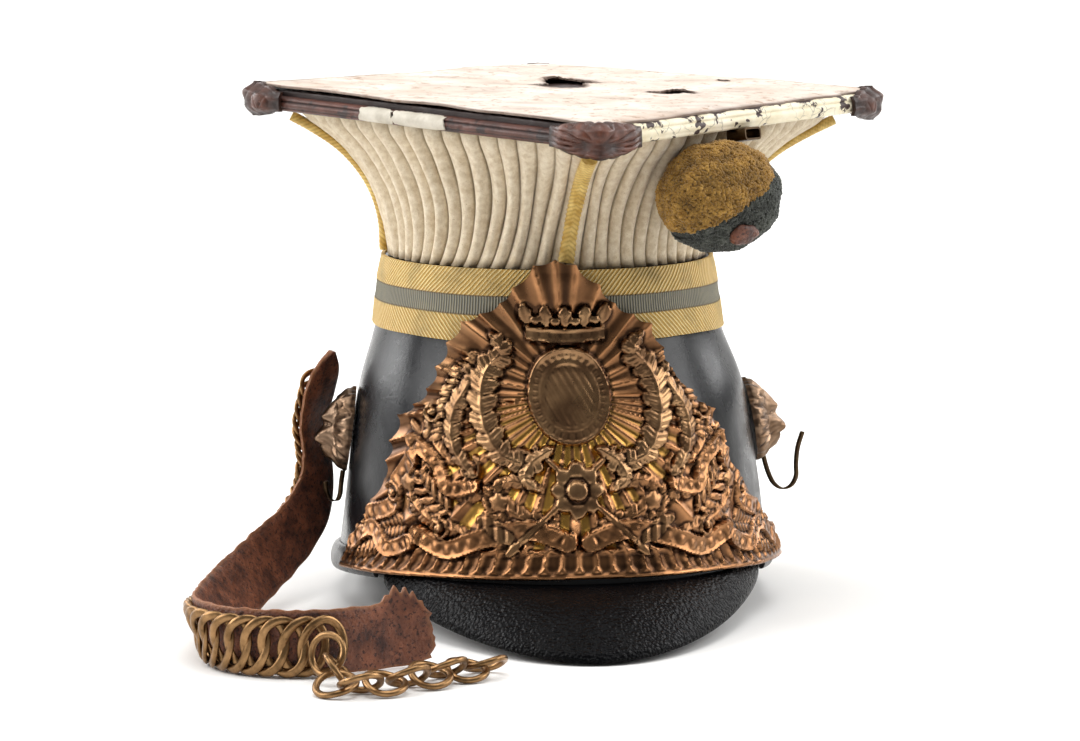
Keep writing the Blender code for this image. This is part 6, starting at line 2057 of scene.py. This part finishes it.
@dataclass
class ChinStrap:
    """The chin strap: leather, twisted and bent round on its edge, with brass rings along its outer face."""

    width: float = 22.0
    thickness: float = 2.4
    steps: int = 14
    across_points: int = 15
    stations: tuple = (
        # (x, y, z, turn of the upper edge, lean of it, share of the width)
        (-84.4, 6.5, 90.0, 228.0, 90.0, 0.1),
        (-86.2, 7.0, 84.0, 228.0, 90.0, 0.6),
        (-89.2, 7.8, 74.0, 238.0, 90.0, 1.0),
        (-91.6, 8.3, 62.0, 243.0, 88.0, 1.0),
        (-90.2, 7.4, 49.5, 240.0, 80.0, 1.0),
        (-91.0, 4.0, 38.0, 232.0, 70.0, 1.0),
        (-95.2, -5.0, 29.6, 228.0, 67.0, 1.0),
        (-102.2, -18.0, 23.0, 226.0, 61.0, 1.0),
        (-110.0, -35.0, 18.8, 220.0, 56.0, 1.0),
        (-117.2, -54.0, 15.4, 208.0, 50.0, 1.0),
        (-124.2, -76.0, 12.8, 192.0, 39.0, 1.0),
        (-129.4, -98.0, 11.3, 182.0, 28.0, 1.0),
        (-131.8, -115.0, 11.2, 184.0, 20.0, 1.0),
        (-129.6, -128.0, 11.2, 198.0, 12.0, 1.0),
        (-122.8, -138.2, 11.2, 215.0, 6.0, 1.0),
        (-112.8, -144.6, 11.2, 225.0, 2.0, 1.0),
        (-101.6, -147.4, 11.2, 225.0, 0.0, 1.0),
        (-89.6, -145.8, 11.2, 225.0, 0.0, 1.0),
        (-78.4, -141.8, 11.2, 180.0, 2.0, 1.0),
        (-67.2, -136.8, 11.6, 180.0, 6.0, 1.0),
        (-57.8, -134.0, 12.2, 180.0, 10.0, 0.9),
    )
    ring_forms: tuple = (
        # (radius along, radius across, half width of wire, half depth, twist, pitch, shift) up the strap, then
        # where it has turned to the front
        (5.6, 8.6, 1.25, 0.8, 1.3, 4.65, -0.4),
        (7.2, 8.9, 1.55, 0.8, 1.35, 5.85, -1.4),
    )
    tail_sizes: tuple = (6.6, 6.6, 1.25, 1.1)
    band_end: float = 0.875
    tail: tuple = (
        # (x, y, z, heading, roll)
        (-91.71, -160.41, 9.80, -41.5, 74.0),
        (-87.97, -168.35, 6.11, -93.8, -48.3),
        (-89.39, -176.86, 3.46, -26.6, 20.4),
        (-81.52, -181.10, 4.66, 10.0, -31.1),
        (-73.39, -176.60, 3.59, 25.6, 18.7),
        (-65.64, -172.80, 4.76, 24.2, -34.0),
        (-58.17, -166.86, 3.90, 27.9, 22.8),
        (-52.61, -160.65, 4.62, 28.4, -31.1),
        (-45.69, -157.54, 3.26, 24.4, 18.0),
        (-39.06, -152.73, 3.88, 28.3, -24.2),
    )

    def way(self) -> dict[str, Array]:
        """Return the strap's smooth way: middles, directions, shares of the width and distances."""
        rows = smooth_way(self.stations, self.steps)
        middle = rows[:, :3]
        turn, lean, share = np.radians(rows[:, 3]), np.radians(rows[:, 4]), rows[:, 5]
        level = np.stack([np.cos(turn), np.sin(turn), 0 * turn], 1)
        across = np.array([0, 0, 1.0]) * np.cos(lean)[:, None] + level * np.sin(lean)[:, None]
        along = np.gradient(middle, axis=0)
        along = unit(along)
        across = unit(across - along * np.sum(across * along, 1, keepdims=True))
        outward = unit(np.cross(along, across))
        walked = np.concatenate([[0], np.cumsum(np.linalg.norm(np.diff(middle, axis=0), axis=1))])
        return {"middle": middle, "along": along, "across": across, "outward": outward, "share": share,
                "walked": walked}

    def build(self) -> None:
        """Make the strap and its rings."""
        way = self.way()
        self.make_strap(way)
        self.make_rings(way)
        self.make_tail()

    def make_strap(self, way: dict[str, Array]) -> None:
        """Make the leather: rough edges, a slight cupping, a torn end."""
        share = np.linspace(-1, 1, self.across_points)[None, :]
        walked = way["walked"][:, None]
        length = way["walked"][-1]
        rough_up = 0.65 * value_noise(np.stack(np.broadcast_arrays(walked, 3.0, 0.0), -1), 4.0, 1.0)
        rough_low = 0.9 * value_noise(np.stack(np.broadcast_arrays(walked, 9.0, 0.0), -1), 9.0, 2.0)
        half = self.width / 2 * way["share"][:, None]
        cross = half * share + np.where(share > 0, rough_up * share ** 4, -rough_low * share ** 4 * 0.6)
        floor_limit = way["middle"][:, 2:3] - 0.25
        cross = np.maximum(cross, -np.maximum(floor_limit, 0.5) / np.maximum(way["across"][:, 2:3], 0.02))
        places = np.stack(np.broadcast_arrays(walked, share * 8, 0.0), -1)
        cup = 0.5 * (share ** 2 - 0.4) + 0.25 * value_noise(places, 9.0, 6.0)
        round_edge = np.sqrt(np.clip(1 - np.abs(share) ** 10, 0.15, 1))
        end_curl = 4.6 * ramp(walked, length - 13.0, length) * ramp(share, 0.1, 1.0)
        ragged = value_noise(np.stack([share * 11, 0 * share, 0 * share], -1), 2.6, 4.0)
        end_reach = ramp(walked, length - 9.0, length) * (1.6 * ragged + 2.5 - 4.6 * ((share + 0.25) / 1.25) ** 2)
        raised = (4.0 + 1.4 * np.sin(walked * 1.7)) * np.exp(-((walked - length + 8.0) / 6.5) ** 4)
        torn_up = raised * np.clip(share, 0, 1) ** 2
        base = (way["middle"][:, None] + way["across"][:, None] * (cross + torn_up)[..., None]
                + way["along"][:, None] * (end_reach + 0 * share)[..., None])
        outward = way["outward"][:, None]
        thick = self.thickness / 2 * round_edge
        front = base + outward * (thick + cup * 0.3 + end_curl)[..., None]
        back = base + outward * (-thick + cup * 0.3 + end_curl)[..., None]
        for layer in (front, back):
            layer[..., 2] = np.maximum(layer[..., 2], 0.2)
        made = make_wall("strap_leather", front, back, False, smooth=60.0)
        edge = 1 - 0.95 * ramp(np.abs(share) + 0 * walked, 0.86, 1.0)
        edge = edge * (1 - 0.7 * ramp(walked, length - 3.0, length))
        edge = edge - 0.2 * np.clip(value_noise(front, 5.0, 3.0), 0, 1)
        set_wear_and_shade(made, np.concatenate([edge.reshape(-1), edge.reshape(-1)]))
        finish_piece(made, Finishes.STRAP.make(), ["chin_strap"])

    def ring(self, middle: Array, along: Array, outward: Array, across: Array, twist: float,
             sizes: Sequence[float]) -> tuple[Array, list]:
        """Return one ring as points and faces.

        Args:
            middle: its middle.
            along: the chain's direction.
            outward: the direction off the strap.
            across: the direction across the chain.
            twist: how far its quarters stand off its plane, every other one up.
            sizes: its radii along and across, and its wire's half width and half depth.

        Returns:
            Points and faces.
        """
        flat, radius, wide, deep = sizes
        turn = np.arange(32)[:, None] * math.tau / 32
        depth = -twist * np.sin(2 * turn)
        way = middle + along * flat * np.cos(turn) + across * radius * np.sin(turn) + outward * depth
        return tube(way, np.tile([wide, deep], (32, 1)), 10, up=np.tile(outward, (32, 1)), closed=True)

    def make_rings(self, way: dict[str, Array]) -> None:
        """Make the interlocked rings along the strap, each twisted like a curb chain's so that they nest."""
        draw = np.random.default_rng(9)
        start = way["walked"][np.argmax(way["share"] > 0.75)]
        end = way["walked"][-1] * self.band_end
        parts = []
        place = start + 5.0
        while place < end - 2.0:
            values = {key: np.array([np.interp(place, way["walked"], way[key][:, axis]) for axis in range(3)])
                      for key in ("middle", "along", "across", "outward")}
            lean = draw.uniform(-0.10, 0.10)
            across = unit(values["across"] + values["along"] * lean)
            settled = float(ramp(place, 150.0, 190.0))
            first, last = np.array(self.ring_forms)
            flat, radius, wide, deep, twist, pitch, shift = first + (last - first) * settled
            offset = self.thickness / 2 + 0.1 + twist + deep + draw.uniform(-0.1, 0.2)
            middle = values["middle"] + values["outward"] * offset + values["across"] * shift
            middle[2] = max(middle[2], radius * abs(across[2]) + wide + 0.15)
            parts.append(self.ring(middle, values["along"], values["outward"], across,
                                   twist, (flat, radius, wide, deep)))
            place += pitch
        made = join_parts("strap_rings", parts, 80.0)
        finish_piece(made, Finishes.CHAIN.make(), ["chain_band"])

    def make_tail(self) -> None:
        """Make the loose rings on the floor."""
        material = Finishes.CHAIN.make()
        for number, (x, y, z, heading, roll) in enumerate(self.tail):
            turn, lean = math.radians(heading), math.radians(roll)
            along = np.array([math.cos(turn), math.sin(turn), 0.0])
            beside = np.array([-math.sin(turn), math.cos(turn), 0.0])
            across = beside * math.cos(lean) + np.array([0, 0, math.sin(lean)])
            outward = unit(np.cross(along, across))
            points, faces = self.ring(np.array([x, y, z]), along, outward, across, 0.5, self.tail_sizes)
            points[:, 2] = np.maximum(points[:, 2], 0.05)
            made = make_mesh("tail_ring_%02d" % (number + 1), points, faces, smooth=80.0)
            finish_piece(made, material, ["chain_tail_%02d" % (number + 1)])


@dataclass
class Studio:
    """The pale paper sweep, the soft lights and the camera."""

    camera_place: tuple = (-120.7, -1253.7, 241.6)
    lens: float = 113.05
    sensor: float = 36.0
    turn: float = 5.18
    pitch: float = 7.20
    surround: float = 0.2

    def build(self) -> None:
        """Set the stage."""
        self.make_sweep()
        self.make_lights()
        self.make_camera()

    def make_sweep(self) -> None:
        """Lay matt white paper that curves up behind the cap."""
        bpy.ops.object.select_all(action="DESELECT")
        bpy.ops.mesh.primitive_plane_add(size=1.0, location=(0, 0, -0.0002))
        sweep = bpy.context.object
        sweep.name = "studio_paper"
        sweep.scale = (5.0, 3.1, 1.0)
        sweep.location.y = 0.75
        bpy.ops.object.transform_apply(location=True, rotation=False, scale=True)
        bpy.ops.object.mode_set(mode="EDIT")
        bpy.ops.mesh.select_all(action="DESELECT")
        bpy.ops.object.mode_set(mode="OBJECT")
        far = max(corner.co.y for corner in sweep.data.vertices)
        for edge in sweep.data.edges:
            edge.select = all(sweep.data.vertices[index].co.y > far - 0.01 for index in edge.vertices)
        bpy.ops.object.mode_set(mode="EDIT")
        for lift, onward in ((0.08, 0.35), (0.25, 0.30), (0.45, 0.15), (2.6, 0.05)):
            bpy.ops.mesh.extrude_region_move(TRANSFORM_OT_translate={"value": (0, onward, lift)})
        bpy.ops.object.mode_set(mode="OBJECT")
        bpy.ops.object.shade_smooth()
        paper = Finish("studio paper", "#F4F3F1", "#F8F7F5", 400.0, (0.9, 0.95), grain=3.0, relief=0.01)
        sweep.data.materials.append(paper.make())

    def make_lights(self) -> None:
        """Place large soft boxes and a pale surround."""
        world = bpy.data.worlds.new("surround")
        world.use_nodes = True
        world.node_tree.nodes["Background"].inputs[0].default_value = (1.0, 1.0, 1.0, 1.0)
        world.node_tree.nodes["Background"].inputs[1].default_value = self.surround
        bpy.context.scene.world = world
        boxes = (
            # (name, place, aim, size, power)
            ("left", (-1.7, -0.1, 1.0), (0, 0, 0.1), (1.1, 1.3), 24.0),
            ("right", (1.7, -0.15, 1.0), (0, 0, 0.1), (1.1, 1.3), 20.0),
            ("left back", (-1.2, 0.95, 0.7), (0, 0, 0.1), (0.6, 1.0), 12.0),
            ("right back", (1.2, 0.9, 0.8), (0, 0, 0.1), (0.6, 1.0), 8.0),
            ("top", (0.0, -0.1, 1.9), (0, 0.1, 0), (1.6, 1.8), 30.0),
            ("back", (0.0, 1.2, 1.6), (0, 2.9, 0.4), (3.0, 1.0), 48.0),
        )
        for name, place, aim, size, power in boxes:
            light = bpy.data.lights.new(name, "AREA")
            light.shape = "RECTANGLE"
            light.size, light.size_y = size
            light.energy = power
            lamp = bpy.data.objects.new(name, light)
            bpy.context.scene.collection.objects.link(lamp)
            lamp.location = place
            lamp.rotation_euler = (Vector(aim) - lamp.location).to_track_quat("-Z", "Y").to_euler()

    def make_camera(self) -> None:
        """Set the camera where the photo was taken from."""
        data = bpy.data.cameras.new("photo_camera")
        data.lens = self.lens
        data.sensor_width = self.sensor
        data.clip_start = 0.05
        data.clip_end = 40.0
        camera = bpy.data.objects.new("photo_camera", data)
        bpy.context.scene.collection.objects.link(camera)
        camera.location = Vector((np.array(self.camera_place) + OFFSET) * MM)
        turn, pitch = math.radians(self.turn), math.radians(self.pitch)
        aim = Vector((math.sin(turn) * math.cos(pitch), math.cos(turn) * math.cos(pitch), -math.sin(pitch)))
        camera.rotation_euler = aim.to_track_quat("-Z", "Y").to_euler()
        bpy.context.scene.camera = camera
        bpy.context.scene.view_settings.view_transform = "Standard"


def main() -> None:
    """Build every sub-assembly in order."""
    assemblies = (SkullAssembly(), LaceBand(), TOP, CornerCords(), BOARD, CornerShells(), FrontPlate(), Bosses(),
                  Wirework(), Rosette(), ChinStrap(), Studio())
    for assembly in assemblies:
        assembly.build()
        LOG.info("%s is in place", type(assembly).__name__)


if __name__ == "__main__":
    main()
